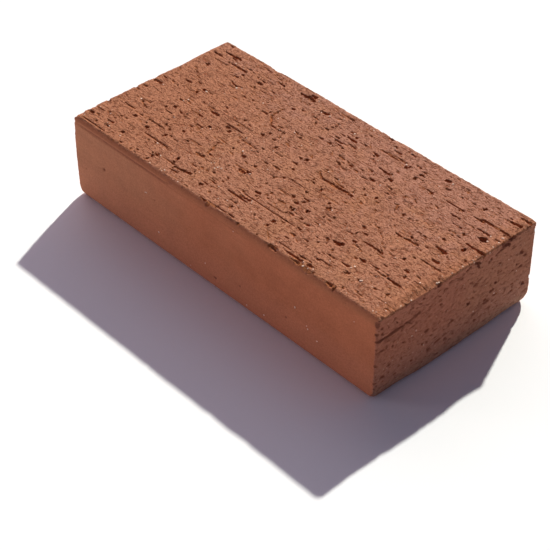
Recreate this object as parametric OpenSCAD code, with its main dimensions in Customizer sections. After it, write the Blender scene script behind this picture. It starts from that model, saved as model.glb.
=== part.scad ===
// A solid extruded brick, lying on its bed face. A die shapes the long clay column and rounds its long
// edges. A fixed wire skims the top of the column, and a moving wire cuts it into bricks.
// The origin is the middle of the bed face. +X runs along the brick, +Z points up.

/* [Block] */
// Length of the brick, from one cut end to the other
brick_length = 230; // [200:1:260]
// Width of the brick, from its front side to its back side
brick_width = 112; // [90:1:130]
// Height of the brick, from its bed face to the skimmed top face
brick_height = 52; // [38:1:80]

/* [Long edges] */
// Radius of the die's corners, which round the long edges of the column
die_corner_radius = 5.2; // [2:0.2:8]
// Radius of the upper back edge, which the die left nearly sharp
back_edge_radius = 2; // [1.8:0.2:8]
// Depth of clay that the wire skims off the top, which leaves only part of the two upper roundings
skim_depth = 0.8; // [0.2:0.2:1.6]

/* [Drag marks] */
// Depth of a drag mark for each millimetre of its width
drag_slope = 0.6; // [0.3:0.1:1]
// Depth of the crease under the clay that the skim rolled over the front edge
crease_depth = 0.3; // [0.1:0.1:0.8]

/* [Cut ends] */
// Radius of the short lower edges, where the soft clay settled on the belt
lower_end_radius = 3; // [1:0.5:8]
// Radius of the short upper edges, which the wire left nearly sharp
upper_end_radius = 1; // [0.5:0.25:4]
// Radius of the four upright edges between the sides and the ends
upright_edge_radius = 1.5; // [0.5:0.25:6]

/* [Hidden] */

// Curves are round to this many facets where a mesh is drawn
$fn = 96;
// How far a cutting shape runs past the face that it cuts
overrun = 1;

// The length and the width of the brick that the places of the marks are stated for
marks_length = 230;
marks_width = 112;

// The largest marks of the skimmed top, where the wire dragged grit along the brick. Each row holds where
// the mark begins along and across the brick, its length, its width and its turn.
TOP_MARKS = [
    [-108, 47.5, 13, 1.9, 0], [-100, 41.5, 16.5, 1.7, 1], [-112, 43, 7, 1.6, 0], [-48.5, 49.5, 12, 2.6, 0],
    [-28.5, 45, 7, 1.8, 10], [-1, 38.5, 7.5, 1.9, -2], [3.5, 34.5, 7, 1.5, -5], [18, 39, 5, 1.9, -8],
    [19.5, 43.5, 14, 0.9, -3], [30, 31, 9, 1.7, -4], [54, 35, 10, 0.9, -1], [71.5, 35.5, 14.5, 0.8, 0],
    [81, 29, 7.5, 1.3, 0], [95, 37.5, 23, 1.5, 0], [104, 46, 9.5, 1.9, 3], [98, 30, 10, 1.3, 2],
    [104.5, 25, 4.5, 3.4, 0], [103, 17, 15, 1.9, 0], [7.5, 24, 6, 1.6, -10], [15, 3, 24, 2, 1],
    [79.5, -2.5, 10, 1.9, 5], [95, 5, 8, 2, -5], [96.5, -8.5, 13, 1.3, 0], [73.5, -18, 8.5, 1.6, -3],
    [58, -29, 6, 2.6, 6], [96.5, -30.5, 9, 1.8, 0], [87, -30, 8, 1.2, 0], [63.5, -44, 9, 1.1, 0],
    [46.5, -51, 13.5, 1.6, 0], [19.5, -7, 22, 0.7, 1], [3.5, -9.5, 14, 0.7, 0], [13, -32, 12.5, 0.8, 1],
    [-1, -35.5, 38.5, 0.8, 0.4], [-9, -39, 16, 1.3, -1], [-3, -44, 7, 1.3, 2], [-8, -52.5, 10, 1, 0],
    [-9.5, -8, 7, 1.6, 0], [-18.5, -23, 5.5, 2.4, 0], [-45, -29.5, 7, 2.3, 0], [-42.5, -46, 11.5, 2, 10],
    [-37.5, -4.5, 13.5, 1, 0], [-57, -24, 11, 1.1, 0], [-58, 5.5, 20, 0.7, -2], [-54, 0, 14, 0.9, 0],
    [-68.5, 1.5, 7, 2.1, 0], [-67.5, -12, 9, 1.2, 0], [-78, -5.5, 12, 1.1, -2], [-86, -28, 14, 0.9, 0],
    [-77.5, -37.5, 20.5, 1, 0], [-117, -1, 10, 2.3, 0], [-102.5, -17.5, 6.5, 1.5, 3],
    [-117, -41.5, 10, 1.3, 5], [-111, -52.5, 19, 0.8, 0]
];
// The largest marks of the right end, across the brick and up from its bed face.
RIGHT_END_MARKS = [
    [-58, 38, 20, 0.8, 3], [26, 46, 8, 1.7, 20], [-15, 13.5, 5, 1.3, 12], [-5.5, 20.5, 4, 1.7, 12],
    [20, 19, 4.5, 1.5, -5], [29.5, 33.5, 4, 1.5, 5], [46, 37.5, 3, 1.9, 15]
];
// The crease of the front side: where it begins along the brick, how far it lies below the top, its
// length and its width.
crease_start = -110;
crease_drop = 4;
crease_length = 86;
crease_width = 1.5;

// The waste outside a quarter circle, in the corner between the +X and +Y half lines from the origin.
module corner_waste(radius) {
    difference() {
        translate([-overrun, -overrun])
            square(radius + overrun);
        translate([radius, radius])
            circle(r = radius);
    }
}

// A rectangle that stands on the X axis and is centred on the Y axis, with its own radius at its
// lower left, lower right, upper right and upper left corner.
module rounded_rectangle(width, height, radii) {
    difference() {
        translate([-width / 2, 0])
            square([width, height]);
        translate([-width / 2, 0])
            corner_waste(radii[0]);
        translate([width / 2, 0])
            mirror([1, 0])
                corner_waste(radii[1]);
        translate([width / 2, height])
            mirror([1, 0])
                mirror([0, 1])
                    corner_waste(radii[2]);
        translate([-width / 2, height])
            mirror([0, 1])
                corner_waste(radii[3]);
    }
}

// The section that the die gives the column, seen along the brick, with its top skimmed off.
module column_section() {
    r = die_corner_radius;
    intersection() {
        rounded_rectangle(brick_width, brick_height + skim_depth, [r, r, back_edge_radius, r]);
        translate([-brick_width / 2 - overrun, -overrun])
            square([brick_width + 2 * overrun, brick_height + overrun]);
    }
}

// The outline that the two end cuts leave, seen from the front.
module side_outline() {
    rounded_rectangle(
        brick_length,
        brick_height,
        [lower_end_radius, lower_end_radius, upper_end_radius, upper_end_radius]
    );
}

// The outline seen from above, with its upright edges rounded.
module plan_outline() {
    r = upright_edge_radius;
    translate([0, -brick_width / 2])
        rounded_rectangle(brick_length, brick_width, [r, r, r, r]);
}

// The skimmed column, trimmed to its two outlines.
module block() {
    intersection() {
        translate([-brick_length / 2 - overrun, 0, 0])
            rotate([90, 0, 90])
                linear_extrude(height = brick_length + 2 * overrun)
                    column_section();
        translate([0, brick_width / 2 + overrun, 0])
            rotate([90, 0, 0])
                linear_extrude(height = brick_width + 2 * overrun)
                    side_outline();
        translate([0, 0, -overrun])
            linear_extrude(height = brick_height + 2 * overrun)
                plan_outline();
    }
}

// What a groove with sloping sides takes away. It begins at the origin, runs along +X, and goes down
// from the plane z = 0.
module groove(length, width, depth) {
    rotate([90, 0, 90])
        linear_extrude(height = length)
            polygon([
                [-width / 2, overrun],
                [-width / 2, 0],
                [-width / 4, -depth],
                [width / 4, -depth],
                [width / 2, 0],
                [width / 2, overrun]
            ]);
}

// What the marks of the skimmed top take away.
module top_marks() {
    for (mark = TOP_MARKS)
        translate([mark[0] * brick_length / marks_length, mark[1] * brick_width / marks_width, brick_height])
            rotate([0, 0, mark[4]])
                groove(mark[2], mark[3], drag_slope * mark[3]);
}

// What the marks of the right end take away.
module right_end_marks() {
    for (mark = RIGHT_END_MARKS)
        translate([brick_length / 2, mark[0] * brick_width / marks_width, mark[1]])
            rotate([90, 0, 90])
                rotate([0, 0, mark[4]])
                    groove(mark[2], mark[3], drag_slope * mark[3]);
}

// What the crease of the front side takes away.
module front_crease() {
    translate([crease_start * brick_length / marks_length, -brick_width / 2, brick_height - crease_drop])
        rotate([90, 0, 0])
            groove(crease_length, crease_width, crease_depth);
}

// The one fired piece: the block with its largest marks.
module brick() {
    color("#9c5c48")
        difference() {
            block();
            top_marks();
            right_end_marks();
            front_crease();
        }
}

brick();
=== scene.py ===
"""The looks of a solid extruded clay brick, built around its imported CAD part.

The brick's surface is one closed mesh. Each of its six faces has a relief: a height map, in millimetres,
that is made here from the marks that brickmaking leaves. A fixed wire skims the top and drags grit along
it, a moving wire cuts the two ends, and a die leaves the other three faces nearly smooth. The reliefs
push the plain shape in and out, and a thinning pass leaves small triangles only where the shape needs them.
"""

import logging
import math
from dataclasses import dataclass, field, replace
from enum import Enum
from typing import Any, Iterable, Sequence

import bpy
import numpy as np
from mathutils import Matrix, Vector
from mathutils.geometry import delaunay_2d_cdt


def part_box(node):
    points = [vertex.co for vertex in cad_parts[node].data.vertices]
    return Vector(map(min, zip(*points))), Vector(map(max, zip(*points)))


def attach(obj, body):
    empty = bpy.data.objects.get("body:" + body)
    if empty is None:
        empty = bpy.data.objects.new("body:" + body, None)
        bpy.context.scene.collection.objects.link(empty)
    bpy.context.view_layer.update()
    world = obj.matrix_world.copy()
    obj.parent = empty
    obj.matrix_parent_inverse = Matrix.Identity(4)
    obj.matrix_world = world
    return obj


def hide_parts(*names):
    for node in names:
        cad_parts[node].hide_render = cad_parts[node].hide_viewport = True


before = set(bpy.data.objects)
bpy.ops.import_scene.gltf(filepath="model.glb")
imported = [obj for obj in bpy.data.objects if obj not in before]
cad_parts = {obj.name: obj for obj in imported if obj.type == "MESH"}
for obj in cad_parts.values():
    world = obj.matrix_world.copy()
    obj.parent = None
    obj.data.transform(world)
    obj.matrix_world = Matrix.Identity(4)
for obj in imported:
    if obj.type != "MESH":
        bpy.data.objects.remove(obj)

LOG = logging.getLogger("brick")
MM = 0.001
# How far the marks of the cut ends rise towards the back, in degrees
WIRE_LEAN = 12.0
NODE = "brick"
BODY = "root"
Array = np.ndarray
Colour = tuple[float, float, float]


# ---------- Random shapes ----------


def smooth_step(low: float, high: float, value: Array) -> Array:
    """Rises smoothly from 0 at low to 1 at high.

    Args:
        low: the value at which the rise begins.
        high: the value at which it ends. It may be below low, and then the result falls.
        value: where to read it.

    Returns:
        The height of the step at each value.
    """
    t = np.clip((value - low) / (high - low), 0.0, 1.0)
    return t * t * (3.0 - 2.0 * t)


def blended(values: Array, i: tuple[Array, Array], j: tuple[Array, Array], s: Array, t: Array) -> Array:
    """Blends the four values of a grid that lie round each place.

    Args:
        values: the grid.
        i: the indices before and after each place along the first axis.
        j: the same along the second axis.
        s: how far each place lies from the first to the second along the first axis, from 0 to 1.
        t: the same along the second axis.

    Returns:
        The blended values.
    """
    low = values[i[0], j[0]] * (1 - s) + values[i[1], j[0]] * s
    high = values[i[0], j[1]] * (1 - s) + values[i[1], j[1]] * s
    return low * (1 - t) + high * t


class Drift:
    """Smooth random values over a plane, which change over a set distance each way."""

    LATTICE = 211

    def __init__(self, seed: int, along: float, across: float, turn: float = 0.0) -> None:
        """Draws the lattice of random values.

        Args:
            seed: what the random values are drawn from.
            along: distance between two values along the first axis, in mm.
            across: the same distance along the second axis.
            turn: how far the lattice is turned, in degrees.
        """
        rng = np.random.default_rng(seed)
        self.values = rng.uniform(-1.0, 1.0, (self.LATTICE, self.LATTICE))
        self.shift = rng.uniform(0.0, self.LATTICE, 2)
        self.along = along
        self.across = across
        self.cos = math.cos(math.radians(turn))
        self.sin = math.sin(math.radians(turn))

    def __call__(self, u: Array, v: Array) -> Array:
        """Reads the values.

        Args:
            u: places along the first axis, in mm.
            v: places along the second axis.

        Returns:
            The value at each place, from -1 to 1.
        """
        a = (u * self.cos + v * self.sin) / self.along + self.shift[0]
        b = (v * self.cos - u * self.sin) / self.across + self.shift[1]
        i = np.floor(a).astype(int)
        j = np.floor(b).astype(int)
        s = smooth_step(0.0, 1.0, a - i)
        t = smooth_step(0.0, 1.0, b - j)
        rows = (i % self.LATTICE, (i + 1) % self.LATTICE)
        columns = (j % self.LATTICE, (j + 1) % self.LATTICE)
        return blended(self.values, rows, columns, s, t)


# ---------- Marks in the clay ----------


@dataclass(frozen=True)
class Tear:
    """A groove that dragged grit leaves: thin where it begins, wide and steep where the grit came out.

    Places and sizes are in mm. A tear begins at (u, v) and runs towards +u, turned by lean degrees.
    """

    u: float
    v: float
    length: float
    width: float
    depth: float
    lean: float = 0.0
    bow: float = 0.0
    even: bool = False


@dataclass(frozen=True)
class Pit:
    """A hole where a lump of grit fell out, with its centre at (u, v). All in mm."""

    u: float
    v: float
    radius: float
    depth: float
    stretch: float = 1.2


@dataclass(frozen=True)
class TearKind:
    """How one kind of random tear is drawn: how many, and the lowest and highest of each size, in mm."""

    count: int
    length: tuple[float, float]
    width: tuple[float, float]
    depth: tuple[float, float]
    lean: float = 3.0
    even: bool = False


class Relief:
    """The height map of one face of the brick, in mm, on a fine grid. Marks go down from zero."""

    # A tear that is shorter than this many widths is cut as a pit
    SHORT = 2.1
    # How much coarse and fine raggedness swing a mark's half width, and the least and most of it
    COARSE, FINE = 0.55, 0.30
    NARROWEST, WIDEST = 0.25, 2.2
    # The share of a mark's depth that lumps on its floor take, and how upright its walls stand
    LUMPS = 0.35
    TEAR_WALL, PIT_WALL = 0.45, 0.4
    # How far a long tear strays, in mm, the length from which it does so fully, and the share for even tears
    STRAY, LONG, CALM = 0.25, 6, 0.35
    # The share of its depth at which a tear begins
    BEGIN = 0.6
    # How patchy random tears lie, how much rarer long ones are, and how much they bow for their length
    PATCHY = (-1.2, 0.9)
    RARE = 1.8
    BOW = 0.03

    def __init__(self, size_u: float, size_v: float, step: float, seed: int) -> None:
        """Makes a flat face.

        Args:
            size_u: length of the face along its first axis, in mm.
            size_v: length along its second axis.
            step: distance between grid points.
            seed: what all random marks of the face are drawn from.
        """
        self.step = step
        self.half_u = size_u / 2
        self.half_v = size_v / 2
        self.u = np.arange(-self.half_u, self.half_u + step, step)
        self.v = np.arange(-self.half_v, self.half_v + step, step)
        self.height = np.zeros((len(self.u), len(self.v)))
        self.seed = seed
        self.rng = np.random.default_rng(seed)
        self.ragged = Drift(seed + 1, 1.3, 0.7)
        self.bitten = Drift(seed + 5, 0.6, 0.5)
        self.wander = Drift(seed + 2, 5.0, 2.5)
        self.lumpy = Drift(seed + 6, 0.9, 0.7)

    def window(
        self, u: float, v: float, reach_u: float, reach_v: float
    ) -> tuple[slice, slice, Array, Array] | None:
        """Finds the grid points near a mark.

        Args:
            u: centre of the mark along the first axis, in mm.
            v: centre along the second axis.
            reach_u: how far it reaches along the first axis.
            reach_v: how far it reaches along the second axis.

        Returns:
            The two index ranges, and the grid's points there, or None if none is near.
        """
        i0, i1 = np.searchsorted(self.u, [u - reach_u, u + reach_u])
        j0, j1 = np.searchsorted(self.v, [v - reach_v, v + reach_v])
        if i1 - i0 < 1 or j1 - j0 < 1:
            return None
        grid_u, grid_v = np.meshgrid(self.u[i0:i1], self.v[j0:j1], indexing="ij")
        return slice(i0, i1), slice(j0, j1), grid_u, grid_v

    def tear(self, mark: Tear) -> None:
        """Cuts one tear.

        Args:
            mark: the tear.
        """
        if mark.length < self.SHORT * mark.width:
            stretch = mark.length / mark.width
            self.pit(Pit(mark.u + mark.length / 2, mark.v, mark.width / 2, mark.depth, stretch))
            return
        lean = math.radians(mark.lean)
        mid_u = mark.u + mark.length / 2 * math.cos(lean)
        mid_v = mark.v + mark.length / 2 * math.sin(lean)
        reach = mark.length / 2 + mark.width + 1
        reach_v = abs(mark.length / 2 * math.sin(lean)) + mark.width + abs(mark.bow) + 1
        found = self.window(mid_u, mid_v, reach, reach_v)
        if found is None:
            return
        rows, columns, u, v = found
        du, dv = u - mark.u, v - mark.v
        run = (du * math.cos(lean) + dv * math.sin(lean)) / mark.length
        off = dv * math.cos(lean) - du * math.sin(lean)
        off = off - mark.bow * 4 * run * (1 - run)
        calm = self.CALM if mark.even else 1.0
        off = off + self.STRAY * calm * self.wander(u, v) * min(1.0, mark.length / self.LONG)
        t = np.clip(run, 0.0, 1.0)
        if mark.even:
            taper = np.sqrt(np.clip(4 * t * (1 - t), 0, 1)) ** 0.6
            floor = np.ones_like(t)
        else:
            taper = t**0.3 * np.sqrt(np.clip(1 - t**12, 0, 1))
            floor = self.BEGIN + (1 - self.BEGIN) * t
        half = mark.width / 2 * taper * (1.0 + calm * (self.unevenness(u, v) - 1.0))
        share = 1 - (off / np.maximum(half, 1e-3)) ** 2
        share = np.where((run > 0) & (run < 1), np.clip(share, 0, 1), 0.0)
        cut = -mark.depth * floor * share**self.TEAR_WALL * (1.0 - self.LUMPS * calm * self.lumpy(u, v))
        self.height[rows, columns] = np.minimum(self.height[rows, columns], cut)

    def unevenness(self, u: Array, v: Array) -> Array:
        """Returns what a mark's half width is multiplied by at each point, round about 1."""
        swing = 1.0 + self.COARSE * self.ragged(u, v) + self.FINE * self.bitten(u, v)
        return np.clip(swing, self.NARROWEST, self.WIDEST)

    def pit(self, mark: Pit) -> None:
        """Cuts one pit.

        Args:
            mark: the pit.
        """
        reach = mark.radius * max(mark.stretch, 1.0) * 1.6 + 0.8
        found = self.window(mark.u, mark.v, reach, reach)
        if found is None:
            return
        rows, columns, u, v = found
        away = np.hypot((u - mark.u) / mark.stretch, v - mark.v)
        away = away / (mark.radius * self.unevenness(u, v))
        bowl = np.clip(1 - away**2, 0, 1) ** self.PIT_WALL
        cut = -mark.depth * bowl * (1.0 - self.LUMPS * self.lumpy(u, v))
        self.height[rows, columns] = np.minimum(self.height[rows, columns], cut)

    def crumb(self, u: float, v: float, radius: float, height: float) -> None:
        """Raises a small crumb of clay.

        Args:
            u: centre along the first axis, in mm.
            v: centre along the second axis.
            radius: its radius.
            height: how far it stands up.
        """
        found = self.window(u, v, radius * 2.5, radius * 2.5)
        if found is None:
            return
        rows, columns, grid_u, grid_v = found
        away = np.hypot(grid_u - u, grid_v - v) / radius
        self.height[rows, columns] += height * np.exp(-(away**2)) * (1 + 0.5 * self.ragged(grid_u, grid_v))

    def scatter(self, kind: TearKind, lean: float = 0.0) -> list[Tear]:
        """Cuts random tears of one kind, thicker in some patches than in others.

        Args:
            kind: how they are drawn.
            lean: the direction that they share, in degrees.

        Returns:
            The tears.
        """
        patch = Drift(self.seed + 3, 16.0, 11.0)
        made: list[Tear] = []
        while len(made) < kind.count:
            u = self.rng.uniform(-self.half_u - kind.length[0], self.half_u)
            v = self.rng.uniform(-self.half_v, self.half_v)
            if self.rng.uniform(*self.PATCHY) > patch(np.array(u), np.array(v)):
                continue
            share = self.rng.uniform(0, 1) ** self.RARE
            length = kind.length[0] + (kind.length[1] - kind.length[0]) * share
            width = self.rng.uniform(*kind.width)
            depth = self.rng.uniform(*kind.depth)
            turn = lean + self.rng.normal(0, kind.lean)
            bow = self.rng.normal(0, self.BOW) * length
            mark = Tear(u, v, length, width, depth, turn, bow, kind.even)
            self.tear(mark)
            made.append(mark)
        return made

    def roughen(self, amount: float, along: float, across: float, turn: float = 0.0) -> None:
        """Adds an even random unevenness.

        Args:
            amount: how far it goes up and down, in mm.
            along: its length along the first axis, in mm.
            across: its length along the second axis.
            turn: how far it is turned, in degrees.
        """
        u, v = np.meshgrid(self.u, self.v, indexing="ij")
        self.height += amount * Drift(self.seed + 4 + int(along * 10), along, across, turn)(u, v)

    def read(self, u: Array, v: Array) -> Array:
        """Reads the height, also between the grid's points.

        Args:
            u: places along the first axis, in mm.
            v: places along the second axis.

        Returns:
            The height at each place, in mm.
        """
        a = np.clip((u - self.u[0]) / self.step, 0, len(self.u) - 1.001)
        b = np.clip((v - self.v[0]) / self.step, 0, len(self.v) - 1.001)
        i = a.astype(int)
        j = b.astype(int)
        return blended(self.height, (i, i + 1), (j, j + 1), a - i, b - j)


# ---------- The marks that catch the eye, listed one by one -------

# Each row: where the mark begins (x, y), its length, its width, and how it is turned, in mm and degrees
TOP_MARKS = (
    # Back left
    (-108, 47.5, 13, 1.9), (-101, 46, 5, 1.2, -10), (-112, 42.8, 7, 1.6), (-100, 41.3, 16.5, 1.7, 1),
    (-107, 38.3, 11, 0.8), (-84.5, 38.2, 2.5, 1.4), (-83, 39.8, 3, 0.8), (-87, 34.5, 4, 1.6),
    (-88, 33.4, 4, 0.8), (-72.5, 39.2, 4, 1.7), (-72, 42, 3.5, 1), (-76, 42.5, 1.2, 1.4),
    (-73.5, 46.5, 4.5, 0.9), (-106.5, 31.2, 2.8, 2.2), (-84, 30, 3, 1, -25), (-82.5, 29, 6, 1.3, -12),
    (-77.5, 28.3, 4, 1.2, 18), (-81, 26, 4.5, 0.9, -3), (-74, 33.7, 4, 0.8), (-70.5, 34.5, 1.2, 2),
    (-87, 23, 6, 0.8, 3), (-72, 20, 5, 1), (-69, 24.3, 4, 1), (-109, 24.3, 4, 1, -5),
    (-106, 22.7, 4, 1, -15), (-101, 19.3, 4, 1.1, -10), (-114.5, 18.2, 4.5, 1.3, -30), (-95.5, 15.3, 4, 1),
    (-102, 11.8, 5.5, 1.5), (-111, 12.2, 3, 1), (-88, 12.8, 2.5, 1.8), (-94.5, 6.8, 6, 1, 4),
    (-88.7, 8.2, 1.8, 2.4), (-113.5, 5.7, 4, 1.3, -12), (-106, 5.5, 2.5, 1.3), (-101.5, 5, 2, 1.3),
    (-79, 4.2, 3, 1), (-73.5, 4, 5, 1), (-74.5, 6.6, 1.2, 1), (-68.5, 1.5, 7, 2.1), (-73, 2.2, 5, 0.8),
    (-66.5, 10.4, 3, 1.1, -20), (-65, 6.8, 5, 0.9), (-86.5, 1, 5, 0.9), (-65, 47.5, 6.5, 1.3),
    (-81, 51.8, 7.5, 1.1), (-77, 55, 4.5, 1.8), (-69.5, 50.5, 5.5, 0.9), (-64, 52, 2.5, 1.1),
    (-111, 54, 3.5, 1), (-91.5, 48, 2, 0.8, -30), (-86, 45, 3, 0.8), (-82, 44.3, 2, 1),
    (-61.5, 25.3, 1.5, 1.2), (-48.5, 49.5, 12, 2.7), (-43, 52.3, 5, 2.2), (-39, 45.7, 3, 1.1, -8),
    (-44, 44, 3, 1), (-45, 46, 2.5, 0.8, -30), (-60, 45.2, 5, 0.7), (-52, 40.3, 2, 0.9),
    (-61.5, 38.7, 4, 1.4), (-46, 35.8, 4, 0.8), (-41, 35.5, 2.6, 1.6), (-36, 38.5, 2, 1.3, -20),
    (-50, 22, 5, 1.6), (-46.6, 24.4, 1.4, 2.2), (-28, 38.7, 6, 1), (-28.5, 44.8, 7, 1.8, 10),
    (-20, 46.8, 5, 0.7), (-15.8, 47.5, 1.6, 1.2), (-19.5, 52, 11, 1.1), (-27, 53, 5, 0.8),
    (-13.5, 43.3, 2.5, 1.6), (-12.5, 41, 2, 1), (-14.5, 38.8, 3, 0.7), (-15, 35.7, 3, 1.4),
    (-16.5, 33.3, 3, 0.9), (-6.5, 37.9, 5, 0.9), (-6, 34.3, 4, 1.5), (-4, 32, 2, 1), (-12, 27.6, 4.5, 1.3),
    (-6.5, 29, 5, 0.9), (-6, 27.3, 4, 1.2), (-19, 26, 3, 1, -15), (-23.5, 22, 4, 1.1, -20),
    (-20, 20.8, 3.5, 1.1, 15), (-17.5, 19.5, 1.2, 1.8), (-31, 21, 3, 0.6), (-34, 18.8, 4, 0.9),
    (-38.5, 25.5, 3, 1), (-33.5, 25.8, 2, 0.8), (-31.8, 10.4, 2, 1.6), (-50, 9, 1.6, 1.4),
    (-45.2, 7.6, 3, 1.2), (-49, 3.2, 1.8, 1.6), (-34.5, 6.8, 3, 1.8), (-26.5, 8, 2.5, 1.5),
    (-20.3, 12.9, 2.5, 1), (-20.5, 11.2, 6, 1.2, -8), (-27, 13.5, 4, 0.8, -25), (-20.2, 4.2, 1.8, 2.2),
    (-12.5, 13.5, 2.5, 1), (-11, 14.2, 6, 0.8), (-9, 7.5, 1.5, 1), (-5.5, 7, 3.5, 1.4),
    (-58, 5.3, 20, 0.6, -2), (-20, 0.7, 10, 0.8), (-9.5, 21, 1.5, 1),
    # Front left
    (-114, -0.8, 7, 2.3), (-89, -3.2, 2.5, 1.2), (-107, -6.5, 5.5, 0.8, -3), (-114, -8.5, 4, 1.8),
    (-115, -12.8, 4, 1.7, -15), (-84.5, -0.8, 3.5, 1.3, -25), (-75.5, -0.7, 2.5, 0.9, -25),
    (-73.8, -2.5, 1.2, 1.6), (-78, -5.3, 12, 1.1, -2), (-72, -5.2, 3, 1.6), (-85.4, -10.2, 1.4, 2.4),
    (-81, -10.3, 4, 1.3, -20), (-75.5, -12.3, 2.8, 1.2), (-67.5, -12, 9, 1.2), (-66.5, -15.5, 3, 1.4, -8),
    (-63, -14, 4, 0.8), (-88.6, -13.9, 1.2, 2.2), (-87, -16, 7, 0.8, 3), (-78.8, -17, 1.6, 1.4),
    (-78.4, -20.5, 1.4, 1.3), (-107, -17, 4, 0.9, -10), (-102.5, -17.6, 6.5, 1.5, 3),
    (-106.5, -18.5, 1, 1.2), (-65.5, -21.8, 3, 1.6, 10), (-75.8, -24.5, 2, 2.4), (-85, -24, 1.5, 0.8),
    (-81.5, -24, 1.5, 0.8), (-71, -26, 2, 1.4), (-107, -27.4, 9.5, 0.9), (-97, -28.3, 7.5, 1),
    (-86, -28, 14, 0.9), (-103, -29.7, 6, 0.5), (-66, -29.5, 2.5, 1.1), (-62, -30.2, 4, 1.3),
    (-94, -31.2, 2.4, 1.7), (-84, -31.2, 1.2, 1.3), (-81.5, -33.6, 2.8, 1.9), (-68.2, -31.3, 1.6, 2.8),
    (-115, -32, 2.5, 1.8), (-111.5, -31.5, 1.5, 1.3), (-98.5, -36.9, 2, 1), (-95, -36.3, 2, 1.1, -20),
    (-104, -35, 1.5, 0.7), (-77.5, -37.7, 20.5, 1), (-106.5, -39.3, 3, 1.4), (-104, -38, 7, 0.6),
    (-115, -41.2, 8, 1.3, 5), (-102.8, -41.8, 1.5, 0.9), (-99, -40.5, 1.2, 1.3), (-97, -38.8, 4, 0.7, -8),
    (-90, -38.8, 2, 0.8), (-90, -38.9, 9, 0.5), (-66.5, -39.5, 2, 1.1, -20), (-70.7, -40.7, 1.4, 1.5),
    (-112.5, -46, 2.8, 2), (-109, -45, 4, 1.1, -8), (-100, -44.3, 5.5, 1.5), (-86.5, -46, 2.8, 1.6),
    (-98, -48.2, 4, 1.2), (-103.5, -50, 1.6, 1.4), (-80.5, -52.5, 3, 1.4), (-71, -52.3, 1.5, 1.1),
    (-111, -52.6, 19, 0.8), (-70.5, -43.2, 1.8, 0.8), (-68.5, -50.3, 2.5, 0.8), (-54, 0, 14, 0.9),
    (-52, -2, 3.5, 1.6), (-48.5, -4.2, 3, 1.9, -15), (-55, -6, 3, 1), (-58, -9, 2.4, 1.7),
    (-40.5, -3.3, 3, 1, -20), (-37.5, -4.4, 13.5, 1), (-32, -4, 2, 1.6), (-37.8, -7.2, 3, 0.8),
    (-24, -1.7, 2, 1.6), (-37.5, -1.6, 1.5, 1), (-16, -4.8, 2.2, 1.3), (-12.6, -5, 2, 1),
    (-47, -11.8, 8.5, 1, -5), (-43.5, -14, 3, 0.8, -15), (-34.5, -12.8, 1.2, 1.8),
    (-29, -12, 2.5, 0.8, -20), (-27, -13.8, 3.8, 1.7), (-15.5, -15.3, 2.5, 1.6), (-22, -16, 4, 0.8, -10),
    (-23.8, -5.8, 2, 0.9), (-22, -8, 3, 1, -10), (-29, -6.2, 2, 0.9), (-9.5, -8, 7, 1.6),
    (-14.5, -9.2, 3.6, 1.3), (-56.5, -16.8, 7, 0.7, -3), (-62, -17.6, 6, 0.6), (-33.5, -16.3, 4, 0.7, -5),
    (-57, -24, 11, 1.1), (-56, -26.3, 2, 1.2), (-48.3, -27.3, 2.2, 0.8), (-44.8, -29.5, 7, 2.3),
    (-36, -30.3, 1.6, 1), (-23, -21.4, 12, 0.8), (-18.3, -23, 5.5, 2.4), (-14, -21.3, 3, 1.6),
    (-25, -24.7, 2, 0.8), (-22, -23.8, 1.6, 1), (-23.5, -28.2, 2, 0.9), (-29, -27.5, 2, 0.8, -30),
    (-19, -28.3, 2, 0.8, -30), (-17, -31.8, 2.5, 1.1, -25), (-54.5, -33.2, 3, 0.8, -10),
    (-24.8, -34.5, 1.3, 1.2), (-32.5, -36.2, 1.5, 1.2), (-29, -35.8, 2.4, 1.2), (-16.5, -36.3, 2, 1.4),
    (-3.5, -34.3, 2, 1.6), (-41, -38, 7, 0.7), (-47.2, -40, 1.6, 2.4), (-47, -43.3, 2.2, 1.6),
    (-22, -40.3, 6, 1.1), (-16, -40.9, 2.5, 0.8, -20), (-9, -39.1, 16, 1.3, -1), (-32.3, -41.3, 1.5, 1),
    (-30.5, -42.5, 1, 1.3), (-42.5, -46, 11.5, 2, 10), (-43.5, -46, 3, 1.6), (-42.8, -47.5, 1.2, 1),
    (-54.5, -45, 12, 1.1, 1), (-58, -45.8, 2.8, 2.3), (-61, -46.3, 2, 1.4), (-59, -48.3, 2.6, 1.7),
    (-43, -49.2, 6.5, 1.2, 4), (-22.5, -46.3, 2.6, 1.9), (-17, -43.5, 2, 1.2), (-24, -43.8, 6, 0.8),
    (-14.5, -47.3, 2, 1.4), (-3, -44, 7, 1.3, 2), (-3.2, -46, 1.4, 1), (-8, -52.6, 10, 1),
    (-14, -53.4, 5.5, 1.6), (-8, -54.8, 3, 1.3), (-39, -52, 7, 0.8), (-26, -52.5, 2, 1),
    (-58, -51.5, 1, 2),
    # Back right
    (14, 54.4, 4.5, 1.8), (-3, 43.2, 2.4, 1.4), (2.4, 41.5, 2, 1.5), (12, 42.3, 3, 0.9, -30),
    (5.5, 48.7, 3, 0.9, -8), (4.5, 46.4, 1.5, 0.8), (7, 44.2, 1.6, 0.8), (-0.8, 38.4, 7.5, 1.9, -2),
    (3.5, 34.5, 7, 1.5, -5), (-3.5, 31.9, 6, 1.4, 3), (0.3, 30.2, 3, 1.4), (4.2, 29, 1.2, 2.5),
    (-4, 28.2, 4, 1.4, -20), (18, 38.8, 5, 1.9, -8), (20.5, 36.5, 1.6, 1.1), (22.3, 33.8, 1.5, 1.1, -20),
    (24, 32.5, 3, 0.7), (30, 31, 9, 1.7, -4), (38.3, 31.2, 1.6, 1.2), (26.5, 26.5, 4.5, 1.3, -12),
    (33, 52, 4, 1.7), (22.5, 50.8, 2, 1.1), (24.8, 47.8, 5.5, 1.2, 2), (41.5, 46.7, 4.5, 1.3),
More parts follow.
